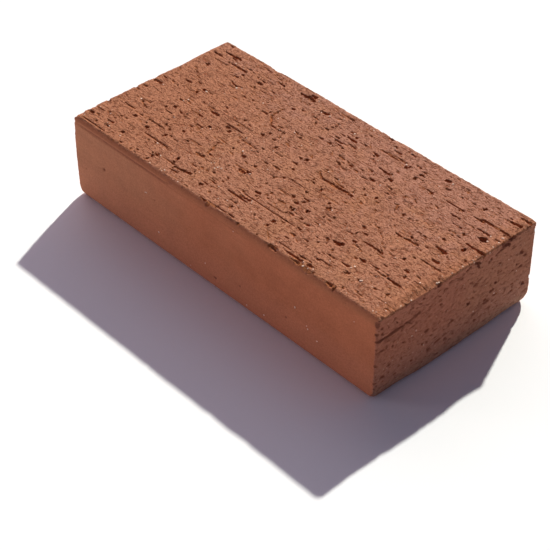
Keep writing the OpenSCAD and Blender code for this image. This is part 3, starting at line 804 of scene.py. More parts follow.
@dataclass
class Brick:
    """The brick's one closed mesh, from the plain shape, the six reliefs and the wear of the edges.

    It lies between the corners low and high of its CAD node, in metres. Its other sizes are in mm. The
    section's corners and the edges of its ends must differ in radius, or their roundings would meet in one
    point and leave the skin open there.
    """

    low: Vector
    high: Vector
    die_radius: float = 4.7
    back_radius: float = 2.0
    foot_radius: float = 4.2
    back_foot_radius: float = 3.4
    skim: float = 0.8
    top_end_radius: float = 0.5
    side_end_radius: float = 1.2
    bed_end_radius: float = 3.0
    # Distances between points: over the bed, the sides, the back, the top, the front's upper edge, and
    # along the brick
    BED_STEP, SIDE_STEP, BACK_STEP, TOP_STEP, EDGE_STEP, LONG_STEP = 1.5, 0.6, 0.7, 0.36, 0.35, 0.5
    # How far down the front the fine points of its upper edge reach
    EDGE_BAND = 4
    # Points round the lower corners, the upper back corner and the upper front corner
    FOOT_POINTS, BACK_POINTS, FRONT_POINTS = 9, 4, 8
    # Where the sections stand near an end, from its plane
    NEAR_END = (0, 0.12, 0.3, 0.6, 1.0, 1.5, 2.1, 2.8, 3.4, 4.0)
    # Distance between the points inside an end, their first ones from the outline in shares of it, and
    # the least gap to the roundings
    CAP_STEP, CAP_LOW, CAP_HIGH, CAP_MARGIN = 0.55, 0.7, 0.6, 0.35
    # How far below the top and above the bed the radius of the end edge changes to theirs
    RIM_BLEND, FOOT_BLEND = (5, 0.5), (7, 1)
    # How far from its face each relief has faded out
    FADE = {Face.TOP: 3.5, Face.BED: 2.0, Face.FRONT: 2.4, Face.BACK: 2.4, Face.LEFT: 3.0, Face.RIGHT: 3.0}
    # Distances from a face between which its tears begin to show their darker inside, partly the clay's own
    # colour and partly painted shade, and the share of it that shows on the front and the back
    HOLLOW_FAR, HOLLOW_NEAR = 1.6, 0.2
    SKIN_HOLLOW = 0.75
    SEEDS = {Face.BED: 37, Face.FRONT: 41, Face.BACK: 47, Face.RIGHT: 53, Face.LEFT: 59}
    # How deep the marks of the front and of the header are for their width
    FRONT_DEPTH, HEADER_DEPTH = 0.2, 0.5
    # The left end has no placed marks, so it gets this many times the scattered ones
    LEFT_MORE = 1.6
    # The wear of the top's four edges: the seed of each, and how far it reaches. Then how deep it is: all
    # along, how much fine and coarse unevenness add to that, and what a deep bite adds where coarse is high
    WEAR = ((Face.LEFT, 71, 0.9), (Face.RIGHT, 73, 1.2), (Face.BACK, 79, 1.2), (Face.FRONT, 83, 1.1))
    BITE, BITE_FINE, BITE_COARSE, BITE_DEEP, DEEP_FROM = 0.08, 0.18, 0.15, 0.5, (0.6, 0.95)
    CHIP_SEED, RIM_SEED, BAND_SEED = 89, 91, 93
    # How much rougher a chip is for its unevenness, in reach and in depth, and where it looks torn
    CHIP_RAGGED, CHIP_ROUGH, TORN = 0.25, 0.5, (0.25, 0.6)
    # How much of the tears' darker inside, partly painted shade, a torn chip shows
    TORN_HOLLOW = 0.35
    # How far the warp reaches from an end. The left end stands out: everywhere, towards the back, with the
    # square of that, and at half height. Its toe is drawn in. The right end stands out at the middle of its
    # top and at its back, and its heel is drawn in: in the middle, behind that, and at the corners
    WARP_REACH = 20
    LEFT_OUT, LEFT_BACK, LEFT_BACK_SQUARE, LEFT_BOW, LEFT_TOE = 0.25, 0.3, 0.7, 0.3, 0.6
    RIGHT_BELLY, RIGHT_BACK = 0.5, 0.6
    HEEL, HEEL_BACK, HEEL_CORNER = 0.3, 0.65, 1.45
    # Where the wire's rough cut ends below the top and beside the ends, and how ragged that line is
    CUT_BELOW, CUT_BESIDE = (0.55, 0.15), (1.3, 0.5)
    RAGGED_BELOW, RAGGED_BESIDE = 0.15, 0.5
    # How low the rolled-over strip along the front's upper edge reaches and how much that sways, how high
    # its heavy part does, and how much higher and from where to where along the brick that rises. The strip's
    # darker colour is partly the skin's own and partly painted shade of the rounded edge
    BAND_LOW, BAND_SWAY = 4.3, 0.5
    HEAVY, HEAVY_MORE, HEAVY_RISE = 1.6, 0.9, (50, 70)
    # Faces that meet at a steeper angle than this, in degrees, keep a sharp edge between them
    SHARP = 50
    TRIANGLES = 186_000

    def __post_init__(self) -> None:
        """Takes the brick's length, width and height from its CAD node."""
        self.length, self.width, self.height = (self.high - self.low) / MM
        self.half_length = self.length / 2
        self.half_width = self.width / 2
        self.top = SkimmedTop(self.length, self.width)
        self.reliefs: dict[Face, Relief] = {}

    def make_reliefs(self) -> None:
        """Makes the reliefs of the six faces."""
        mid = self.height / 2
        long, high, deep, seeds = self.length, self.height, self.width, self.SEEDS
        front = placed(STRETCHER_MARKS, mid, self.FRONT_DEPTH)
        header = placed(HEADER_MARKS, mid, self.HEADER_DEPTH)
        self.reliefs = {
            Face.TOP: self.top.make(),
            Face.BED: DieSkin(long, deep, seeds[Face.BED]).make(),
            Face.FRONT: DieSkin(long, high, seeds[Face.FRONT], front).make(),
            Face.BACK: DieSkin(long, high, seeds[Face.BACK]).make(),
            Face.RIGHT: CutEnd(deep, high, seeds[Face.RIGHT], header).make(),
            Face.LEFT: CutEnd(deep, high, seeds[Face.LEFT], more=self.LEFT_MORE).make(),
        }
        # Nothing of the bed stands out past the plane that the brick rests on
        bed = self.reliefs[Face.BED]
        bed.height -= bed.height.max()

    def section(self) -> tuple[Array, Array, Array]:
        """Walks once round the brick's cross-section.

        Returns:
            The points (y, z), their outward normals, and the radius of the end edge at each.
        """
        r, w, h = self.die_radius, self.half_width, self.height
        points: list[tuple[float, float]] = []
        normals: list[tuple[float, float]] = []

        def straight(y0: float, z0: float, y1: float, z1: float, step: float, ny: float, nz: float) -> None:
            """Adds the points of one straight stretch, its start left out.

            Args:
                y0: where it starts across the brick, in mm.
                z0: where it starts above the bed.
                y1: where it ends across the brick.
                z1: where it ends above the bed.
                step: the distance that its points keep.
                ny: its outward normal's part across the brick.
                nz: its outward normal's part upwards.
            """
            count = max(2, round(math.hypot(y1 - y0, z1 - z0) / step))
            for k in range(1, count + 1):
                t = k / count
                points.append((y0 + (y1 - y0) * t, z0 + (z1 - z0) * t))
                normals.append((ny, nz))

        def arc(radius: float, cy: float, cz: float, start: float, end: float, count: int) -> None:
            """Adds the points of one rounded corner, its start left out.

            Args:
                radius: its radius, in mm.
                cy: its centre across the brick.
                cz: its centre above the bed.
                start: the angle at which it starts, in radians.
                end: the angle at which it ends.
                count: how many points it gets.
            """
            for k in range(1, count + 1):
                a = start + (end - start) * k / count
                points.append((cy + radius * math.cos(a), cz + radius * math.sin(a)))
                normals.append((math.cos(a), math.sin(a)))

        back, foot, heel = self.back_radius, self.foot_radius, self.back_foot_radius
        high, high_back = h + self.skim - r, h + self.skim - back
        rim, rim_back = self.rim(r), self.rim(back)
        # The top starts a little inside the rim, or its first point would step outwards where the ends round
        top_start, top_end = w - self.top_inset(back) - self.top_end_radius, self.top_inset(r) - w
        straight(-w + foot, 0, w - heel, 0, self.BED_STEP, 0, -1)
        arc(heel, w - heel, heel, -math.pi / 2, 0, self.FOOT_POINTS)
        straight(w, heel, w, high_back, self.BACK_STEP, 1, 0)
        arc(back, w - back, high_back, 0, rim_back, self.BACK_POINTS)
        straight(top_start, h, top_end, h, self.TOP_STEP, 0, 1)
        arc(r, -w + r, high, math.pi - rim, math.pi, self.FRONT_POINTS)
        straight(-w, high, -w, high - self.EDGE_BAND, self.EDGE_STEP, -1, 0)
        straight(-w, high - self.EDGE_BAND, -w, foot, self.SIDE_STEP, -1, 0)
        arc(foot, -w + foot, foot, math.pi, 1.5 * math.pi, self.FOOT_POINTS)
        place = np.array(points)
        out = np.array(normals)
        up = smooth_step(self.height - self.RIM_BLEND[0], self.height - self.RIM_BLEND[1], place[:, 1])
        down = smooth_step(*self.FOOT_BLEND, place[:, 1])
        ends = self.side_end_radius + (self.top_end_radius - self.side_end_radius) * up
        ends = ends + (self.bed_end_radius - self.side_end_radius) * down
        return place, out, ends

    def stations(self) -> Array:
        """Spreads the sections along the brick, closer together near its ends.

        Returns:
            Their places, in mm from its middle.
        """
        near = np.array(self.NEAR_END)
        inner = self.half_length - near[-1]
        count = round(2 * inner / self.LONG_STEP)
        middle = np.linspace(-inner, inner, count + 1)[1:-1]
        return np.concatenate([-self.half_length + near, middle, self.half_length - near[::-1]])

    def tube(self) -> tuple[Array, Array]:
        """Makes the skin along the brick, open at both ends.

        Returns:
            The points, a row of them for each station, and the faces, as four indices each.
        """
        place, out, ends = self.section()
        xs = self.stations()
        gap = self.half_length - np.abs(xs)
        short = np.clip(ends[None, :] - gap[:, None], 0, None)
        inset = ends[None, :] - np.sqrt(np.clip(ends[None, :] ** 2 - short**2, 0, None))
        y = place[None, :, 0] - out[None, :, 0] * inset
        z = place[None, :, 1] - out[None, :, 1] * inset
        x = np.repeat(xs[:, None], len(place), axis=1)
        points = np.stack([x, y, z], axis=-1)
        rows, columns = points.shape[:2]
        index = np.arange(rows * columns).reshape(rows, columns)
        nxt = np.roll(index, -1, axis=1)
        faces = np.stack([index[:-1], nxt[:-1], nxt[1:], index[1:]], axis=-1)
        return points, faces.reshape(-1, 4)

    def cap(self, ring: Array, first: int, start: int, outward: float) -> tuple[Array, Array]:
        """Fills one end.

        Args:
            ring: the points (x, y, z) of the tube's last row.
            first: the index of the ring's first point.
            start: the index that the cap's first new point gets.
            outward: 1 for the end at +X and -1 for the end at -X.

        Returns:
            The new points, and the faces, as three indices each.
        """
        outline = ring[:, 1:]
        low, high = outline.min(0), outline.max(0)
        step = self.CAP_STEP
        ys = np.arange(low[0] + step, high[0] - step / 2, step)
        zs = np.arange(low[1] + step * self.CAP_LOW, high[1] - step * self.CAP_HIGH, step)
        y, z = np.meshgrid(ys, zs, indexing="ij")
        inner = np.stack([y.ravel(), z.ravel()], axis=-1)
        inner = inner[self.inside(inner, self.CAP_MARGIN)]
        place = np.concatenate([outline, inner])
        flat = [Vector(p) for p in place]
        count = len(outline)
        edges = [(k, (k + 1) % count) for k in range(count)]
        result = delaunay_2d_cdt(flat, edges, [], 1, 1e-6)
        corners = np.array(result[2], dtype=int)
        source = np.array([origin[0] for origin in result[3]], dtype=int)
        corners = source[corners]
        a, b, c = (place[corners[:, k]] for k in range(3))
        turn = (b[:, 0] - a[:, 0]) * (c[:, 1] - a[:, 1]) - (b[:, 1] - a[:, 1]) * (c[:, 0] - a[:, 0])
        wrong = turn * outward < 0
        corners[wrong] = corners[wrong][:, ::-1]
        corners = np.where(corners < count, corners + first, corners - count + start)
        new = np.column_stack([np.full(len(inner), ring[0, 0]), inner])
        return new, corners

    def inside(self, points: Array, margin: float) -> Array:
        """Says which points of an end lie inside its outline.

        Args:
            points: the points (y, z), in mm.
            margin: how far inside they have to lie.

        Returns:
            True for each point that does.
        """
        r, w = self.die_radius, self.half_width
        y, z = np.abs(points[:, 0]), points[:, 1]
        side, bed = self.side_end_radius + margin, self.bed_end_radius + margin
        fine = (y < w - side) & (z > bed) & (z < self.height - self.top_end_radius - margin)
        foot = np.where(points[:, 0] < 0, self.foot_radius, self.back_foot_radius)
        low = (y > w - foot) & (z < foot)
        fine &= ~low | (np.hypot(y - (w - foot), z - foot) < foot - bed)
        high = self.height + self.skim - r
        rise = (points[:, 0] < r - w) & (z > high)
        fine &= ~rise | (np.hypot(y - (w - r), z - high) < r - side)
        return fine & ((z < self.height - self.back_radius) | (points[:, 0] < w - self.back_radius))

    def plain(self) -> tuple[Array, Array, Array]:
        """Makes the plain closed shape.

        Returns:
            Its points, its four-sided faces and its three-sided faces.
        """
        points, quads = self.tube()
        rows, columns = points.shape[:2]
        flat = points.reshape(-1, 3)
        left, left_faces = self.cap(points[0], 0, len(flat), -1)
        flat = np.concatenate([flat, left])
        right, right_faces = self.cap(points[-1], (rows - 1) * columns, len(flat), 1)
        flat = np.concatenate([flat, right])
        return flat, quads, np.concatenate([left_faces, right_faces])

    def depths(self, points: Array) -> dict[Face, Array]:
        """Says how far each point lies below each face.

        Args:
            points: the points, in mm.

        Returns:
            The distances from each face, in mm.
        """
        x, y, z = points.T
        return {
            Face.TOP: self.height - z,
            Face.BED: z,
            Face.FRONT: self.half_width + y,
            Face.BACK: self.half_width - y,
            Face.LEFT: self.half_length + x,
            Face.RIGHT: self.half_length - x,
        }

    def read(self, face: Face, points: Array) -> Array:
        """Reads a face's relief where it passes each point.

        Args:
            face: the face.
            points: the points, in mm.

        Returns:
            The height of the relief at each, in mm.
        """
        x, y, z = points.T
        z = z - self.height / 2
        if face in (Face.TOP, Face.BED):
            return self.reliefs[face].read(x, y)
        if face in (Face.FRONT, Face.BACK):
            return self.reliefs[face].read(x, z)
        return self.reliefs[face].read(y, z)

    def marked(self, points: Array) -> tuple[Array, Array]:
        """Pushes the points in and out as the reliefs say.

        Args:
            points: the plain shape's points, in mm.

        Returns:
            The moved points, and how deep in a tear each lies, in mm.
        """
        move = np.zeros_like(points)
        hollow = np.zeros(len(points))
        for face, depth in self.depths(points).items():
            fade = smooth_step(self.FADE[face], 0, depth)
            height = self.read(face, points)
            move += (height * fade)[:, None] * np.array(face.value, float)
            shown = self.SKIN_HOLLOW if face in (Face.FRONT, Face.BACK) else 1.0
            near = smooth_step(self.HOLLOW_FAR, self.HOLLOW_NEAR, depth) * shown
            hollow = np.maximum(hollow, -height * near)
        return points + move, hollow

    def worn(self, points: Array, plain: Array) -> tuple[Array, Array]:
        """Wears the sharp edges and corners.

        Args:
            points: the marked points, in mm.
            plain: where they were before, which says how near each is to an edge.

        Returns:
            The worn points, and how much of the torn inside shows at each, from 0 to 1.
        """
        depth = self.depths(plain)
        insets = {Face.FRONT: self.top_inset(self.die_radius), Face.BACK: self.top_inset(self.back_radius)}
        moved = points.copy()
        for side, seed, reach in self.WEAR:
            along = plain[:, 1] if side in (Face.LEFT, Face.RIGHT) else plain[:, 0]
            fine = Drift(seed, 1.6, 1.0)(along, np.zeros_like(along))
            coarse = Drift(seed + 1, 6.0, 1.0)(along, np.zeros_like(along))
            bite = self.BITE + self.BITE_FINE * fine + self.BITE_COARSE * coarse
            bite = bite + self.BITE_DEEP * smooth_step(*self.DEEP_FROM, coarse)
            beside = depth[side] - insets.get(side, 0.0)
            away = np.hypot(np.clip(beside, -3, None), depth[Face.TOP])
            pull = np.clip(bite, 0, None) * np.exp(-((away / reach) ** 2))
            inward = -(np.array(side.value, float) + np.array(Face.TOP.value, float)) / math.sqrt(2)
            moved += pull[:, None] * inward
        torn = np.zeros(len(plain))
        rough = Drift(self.CHIP_SEED, 1.5, 1.5)(plain[:, 0] + plain[:, 1], plain[:, 2] - plain[:, 1])
        for chip in self.chips():
            away = np.linalg.norm((plain - np.array(chip.at)) / np.array(chip.reach), axis=1)
            share = np.exp(-((away * (1 + self.CHIP_RAGGED * rough)) ** 4))
            moved += (share * (1 + self.CHIP_ROUGH * rough * chip.torn))[:, None] * np.array(chip.move)
            if chip.torn:
                torn = np.maximum(torn, smooth_step(*self.TORN, share))
        return moved, torn

    def rim(self, radius: float) -> float:
        """Returns the angle up to which the skim leaves a corner of that radius."""
        return math.asin((radius - self.skim) / radius)

    def top_inset(self, radius: float) -> float:
        """Returns how far the skimmed top's edge lies inside the side, at a corner of that radius."""
        return radius - radius * math.cos(self.rim(radius))

    def chips(self) -> list[Chip]:
        """Lists the chips at the corners and along the edges.

        Returns:
            The chips.
        """
        x, y, z = self.half_length, self.half_width, self.height
        return [
            # The front right corner, torn down the upright edge
            Chip((x, -y + 2, z), (2.0, 1.6, 1.4), (-0.3, 0.3, -0.3)),
            Chip((x, -y, z - 3), (2.0, 1.2, 2.4), (-0.4, 0.8, 0), True),
            Chip((x, -y, z - 9), (1.4, 1.2, 3), (-0.1, 0.4, 0)),
            # The front left corner, blunt
            Chip((-x, -y + 1, z), (1.6, 1.6, 1.4), (0.3, 0.2, -0.3), True),
            Chip((-x, -y + 4, z), (2.2, 4, 1.8), (0.3, 0, -0.8)),
            Chip((-x, -y, z - 3.5), (1.2, 1.2, 0.9), (0.4, 0.4, 0)),
            Chip((-x, -y, z - 6), (2.4, 2.4, 6), (0.1, 0.2, 0)),
            # The back corners
            Chip((x, y, z), (1.5, 1.5, 1.5), (-0.1, 0, -0.1)),
            Chip((-x, y, z), (2, 2, 2), (0.2, -0.1, -0.1)),
            Chip((x, y - 4, z - 3), (1.5, 3, 2), (-0.2, 0, -0.1)),
            # The crumbled stretches of the top's front edge
            Chip((61, -y + 2.2, z), (6, 1.2, 1.0), (0, 0.3, -0.3), True),
            Chip((66, -y + 1.6, z - 0.6), (3, 1.4, 1.0), (0, 0.4, -0.3), True),
            Chip((81, -y + 2.2, z), (3, 1.2, 1.0), (0, 0.3, -0.3), True),
            Chip((41.5, -y + 2.2, z), (3.4, 0.9, 0.7), (0, 0.25, -0.3), True),
            Chip((-35, -y + 1.2, z - 2), (2.5, 1.0, 0.7), (0, 0.2, -0.1), True),
            Chip((-5, -y + 2.4, z), (4, 0.8, 0.6), (0, 0.2, -0.3), True),
            # The header's top edge
            Chip((x, -26, z), (3, 16, 2.5), (-0.2, 0, -1.1)),
            Chip((x, -15, z), (1.2, 1.6, 1.4), (-0.3, 0, -0.4), True),
            Chip((x, 12.5, z - 1), (1.1, 1.4, 1.8), (-0.4, 0, -0.1)),
            Chip((x, 34, z - 2), (1.2, 4, 1.6), (-0.4, 0, -0.2), True),
            Chip((x, 43, z), (2.6, 9, 1.8), (-0.4, 0, -0.6)),
            # The top's left edge and its back edge
            Chip((-x, 0, z), (1.6, 3, 1.2), (0.3, 0, -0.3), True),
            Chip((-x, -12.8, z), (1.6, 1.2, 1.2), (0.4, 0, -0.4), True),
            Chip((-x, -32, z), (1.4, 1.2, 1.2), (0.3, 0, -0.3), True),
            Chip((-x, -43.5, z), (1.6, 3, 1.6), (0.4, 0, -0.3), True),
            Chip((-75, y, z), (3.5, 1.4, 1.2), (0, -0.3, -0.25), True),
            Chip((16, y, z), (3.5, 1.2, 1.2), (0, -0.2, -0.25), True),
        ]

    def warped(self, points: Array) -> Array:
        """Adds the slight warp that drying and firing leave.

        Args:
            points: the worn points, in mm.

        Returns:
            The warped points.
        """
        x, y, z = points.T
        across = y / self.half_width
        left = smooth_step(self.WARP_REACH - self.half_length, -self.half_length, x)
        right = smooth_step(self.half_length - self.WARP_REACH, self.half_length, x)
        rise = z / self.height
        skew = -self.LEFT_OUT - self.LEFT_BACK * across - self.LEFT_BACK_SQUARE * across**2
        skew = (skew - self.LEFT_BOW * (1 - (2 * rise - 1) ** 2)) * left
        toe = self.LEFT_TOE * np.clip(1 - 2 * rise, 0, 1) ** 1.5 * left
        belly = self.RIGHT_BELLY * (1 - (across + 0.2) ** 2) * right * rise
        belly += self.RIGHT_BACK * np.clip(across, 0, 1) ** 4 * right
        heel = self.HEEL + self.HEEL_BACK * smooth_step(0.0, 0.3, across)
        heel = heel + self.HEEL_CORNER * smooth_step(0.4, 0.7, across)
        heel += self.HEEL_CORNER * smooth_step(-0.4, -0.7, across)
        heel *= -right * np.clip(1 - 5 * rise, 0, 1) ** 2
        return np.stack([x + skew + toe + belly + heel, y, z], axis=-1)

    def tints(self, plain: Array) -> dict[str, Array]:
        """Says which kind of surface each point lies on.

        Args:
            plain: the plain points, in mm.

        Returns:
            Numbers from 0 to 1: "cut" where a wire cut the clay, and "band" where the skim rolled the corner
            over, along the front's upper edge, whose darker colour is partly the skin's own and partly
            painted shade.
        """
        depth = self.depths(plain)
        x, y, z = plain.T
        rough = Drift(self.RIM_SEED, 1.6, 1.2)(x + y, z * 2)
        below = smooth_step(*self.CUT_BELOW, depth[Face.TOP] + self.RAGGED_BELOW * rough)
        ends = np.minimum(depth[Face.LEFT], depth[Face.RIGHT])
        beside = smooth_step(*self.CUT_BESIDE, ends + self.RAGGED_BESIDE * rough)
        cut = np.maximum(below, beside)
        low = self.BAND_LOW + self.BAND_SWAY * Drift(self.BAND_SEED, 20.0, 1.0)(x, np.zeros_like(x))
        heavy = self.HEAVY + self.HEAVY_MORE * smooth_step(*self.HEAVY_RISE, x)
        side = np.minimum(depth[Face.FRONT], depth[Face.BACK])
        # The strip along the front's upper edge: its darker colour is partly the skin's own, partly painted
        # shade
        shaded_band = smooth_step(low + 0.6, low - 0.4, depth[Face.TOP]) * smooth_step(3.0, 2.4, side) * (1 - cut)
        shaded_band = shaded_band * (0.5 + 0.5 * smooth_step(self.HEAVY + heavy, heavy, depth[Face.TOP] - 0.3 * rough))
        return {"cut": cut, "shaded_band": shaded_band}

    def make(self) -> bpy.types.Object:
        """Makes the brick's piece.

        Returns:
            The object, with its place in its mesh.
        """
        self.make_reliefs()
        plain, quads, triangles = self.plain()
        points, hollow = self.marked(plain)
        points, torn = self.worn(points, plain)
        points = self.warped(points)
        values = self.tints(plain)
        values["cut"] = np.maximum(values["cut"], torn)
        values["shaded_band"] = values["shaded_band"] * (1 - torn)
        values["hollow"] = np.clip(np.maximum(hollow, self.TORN_HOLLOW * torn), 0, 2)
        mesh = build_mesh("brick_fine", points * MM, quads, triangles, values)
        LOG.info("fine skin: %d points, %d faces", len(mesh.vertices), len(mesh.polygons))
        piece = link("fired_brick", mesh)
        thinned = piece.modifiers.new("thin", "DECIMATE")
        total = 2 * len(quads) + len(triangles)
        thinned.ratio = self.TRIANGLES / total
        piece = apply_modifiers(piece)
        piece.data.shade_smooth()
        piece.data.set_sharp_from_angle(angle=math.radians(self.SHARP))
        return piece


# ---------- Meshes and objects ----------


def build_mesh(
    name: str, points: Array, quads: Array, triangles: Array, values: dict[str, Array]
) -> bpy.types.Mesh:
    """Makes a mesh from arrays.

    Args:
        name: name of the mesh.
        points: its points, in metres.
        quads: its four-sided faces.
        triangles: its three-sided faces.
        values: numbers to keep at each point, by name.

    Returns:
        The mesh.
    """
    mesh = bpy.data.meshes.new(name)
    mesh.vertices.add(len(points))
    mesh.vertices.foreach_set("co", points.astype(np.float32).ravel())
    corners = np.concatenate([quads.ravel(), triangles.ravel()]).astype(np.int32)
    mesh.loops.add(len(corners))
    mesh.loops.foreach_set("vertex_index", corners)
    sizes = np.concatenate([np.full(len(quads), 4), np.full(len(triangles), 3)])
    starts = np.concatenate([[0], np.cumsum(sizes)[:-1]]).astype(np.int32)
    mesh.polygons.add(len(sizes))
    mesh.polygons.foreach_set("loop_start", starts)
    mesh.update(calc_edges=True)
    mesh.validate()
    for key, numbers in values.items():
        attribute = mesh.attributes.new(key, "FLOAT", "POINT")
        attribute.data.foreach_set("value", numbers.astype(np.float32))
    return mesh


def link(name: str, data: bpy.types.ID) -> bpy.types.Object:
    """Puts a mesh, a lamp or a camera into the scene as an object of that name."""
    made = bpy.data.objects.new(name, data)
    bpy.context.scene.collection.objects.link(made)
    return made


def apply_modifiers(piece: bpy.types.Object) -> bpy.types.Object:
    """Turns what the modifiers make into the object's own mesh.

    Args:
        piece: the object, with modifiers.

    Returns:
        The same object, without modifiers.
    """
    bpy.context.view_layer.update()
    evaluated = piece.evaluated_get(bpy.context.evaluated_depsgraph_get())
    mesh = bpy.data.meshes.new_from_object(evaluated)
    old = piece.data
    piece.modifiers.clear()
    piece.data = mesh
    mesh.name = piece.name
    bpy.data.meshes.remove(old)
    return piece


# ---------- Node trees ----------


class Shade:
    """A value in a node tree: an output socket that Python's operators work on."""

    def __init__(self, tree: "NodeGraph", socket: bpy.types.NodeSocket) -> None:
        """Keeps the tree and the socket."""
        self.tree = tree
        self.socket = socket

    def maths(self, operation: str, other: Any) -> "Shade":
        """Returns the result of a Math node on this value and another."""
        return self.tree.node("ShaderNodeMath", {"operation": operation}, {0: self, 1: other})

    def __add__(self, other: Any) -> "Shade":
        """Returns self + other."""
        return self.maths("ADD", other)

    __radd__ = __add__

    def __mul__(self, other: Any) -> "Shade":
        """Returns self * other."""
        return self.maths("MULTIPLY", other)

    __rmul__ = __mul__

    def __sub__(self, other: Any) -> "Shade":
        """Returns self - other."""
        return self.maths("SUBTRACT", other)

    def __rsub__(self, other: Any) -> "Shade":
        """Returns other - self."""
        return self.tree.node("ShaderNodeMath", {"operation": "SUBTRACT"}, {0: other, 1: self})

    def step(self, low: float, high: float) -> "Shade":
        """Returns a smooth rise from 0 at low to 1 at high."""
        inputs = {"Value": self, "From Min": low, "From Max": high}
        return self.tree.node("ShaderNodeMapRange", {"interpolation_type": "SMOOTHSTEP"}, inputs)

    def fall(self, low: float, high: float) -> "Shade":
        """Returns a smooth fall from 1 at low to 0 at high."""
        return (self * -1.0).step(-high, -low)


class NodeGraph:
    """A node tree, built one node at a time."""

    def __init__(self, tree: bpy.types.NodeTree) -> None:
        """Takes an existing tree and empties it."""
        self.nodes = tree.nodes
        self.links = tree.links
        self.nodes.clear()

    def new(self, kind: str, settings: dict[str, Any], inputs: dict[Any, Any]) -> bpy.types.Node:
        """Adds a node.

        Args:
            kind: its type.
            settings: its own settings, which are set first.
            inputs: values or links of its sockets, by name or number.

        Returns:
            The node.
        """
        made = self.nodes.new(kind)
        for key, value in settings.items():
            setattr(made, key, value)
        for key, value in inputs.items():
            socket = made.inputs[key]
            if isinstance(value, Shade):
                self.links.new(value.socket, socket)
            elif isinstance(value, tuple) and socket.type == "RGBA":
                socket.default_value = (*value, 1.0)
            else:
                socket.default_value = value
        return made

    def node(self, kind: str, settings: dict[str, Any], inputs: dict[Any, Any], output: Any = 0) -> Shade:
        """Adds a node and picks one of its outputs.

        Args:
            kind: its type.
            settings: its own settings, which are set first.
            inputs: values or links of its sockets, by name or number.
            output: the output socket that is wanted, by name or number.

        Returns:
            That output.
        """
        return Shade(self, self.new(kind, settings, inputs).outputs[output])


# ---------- Grit ----------


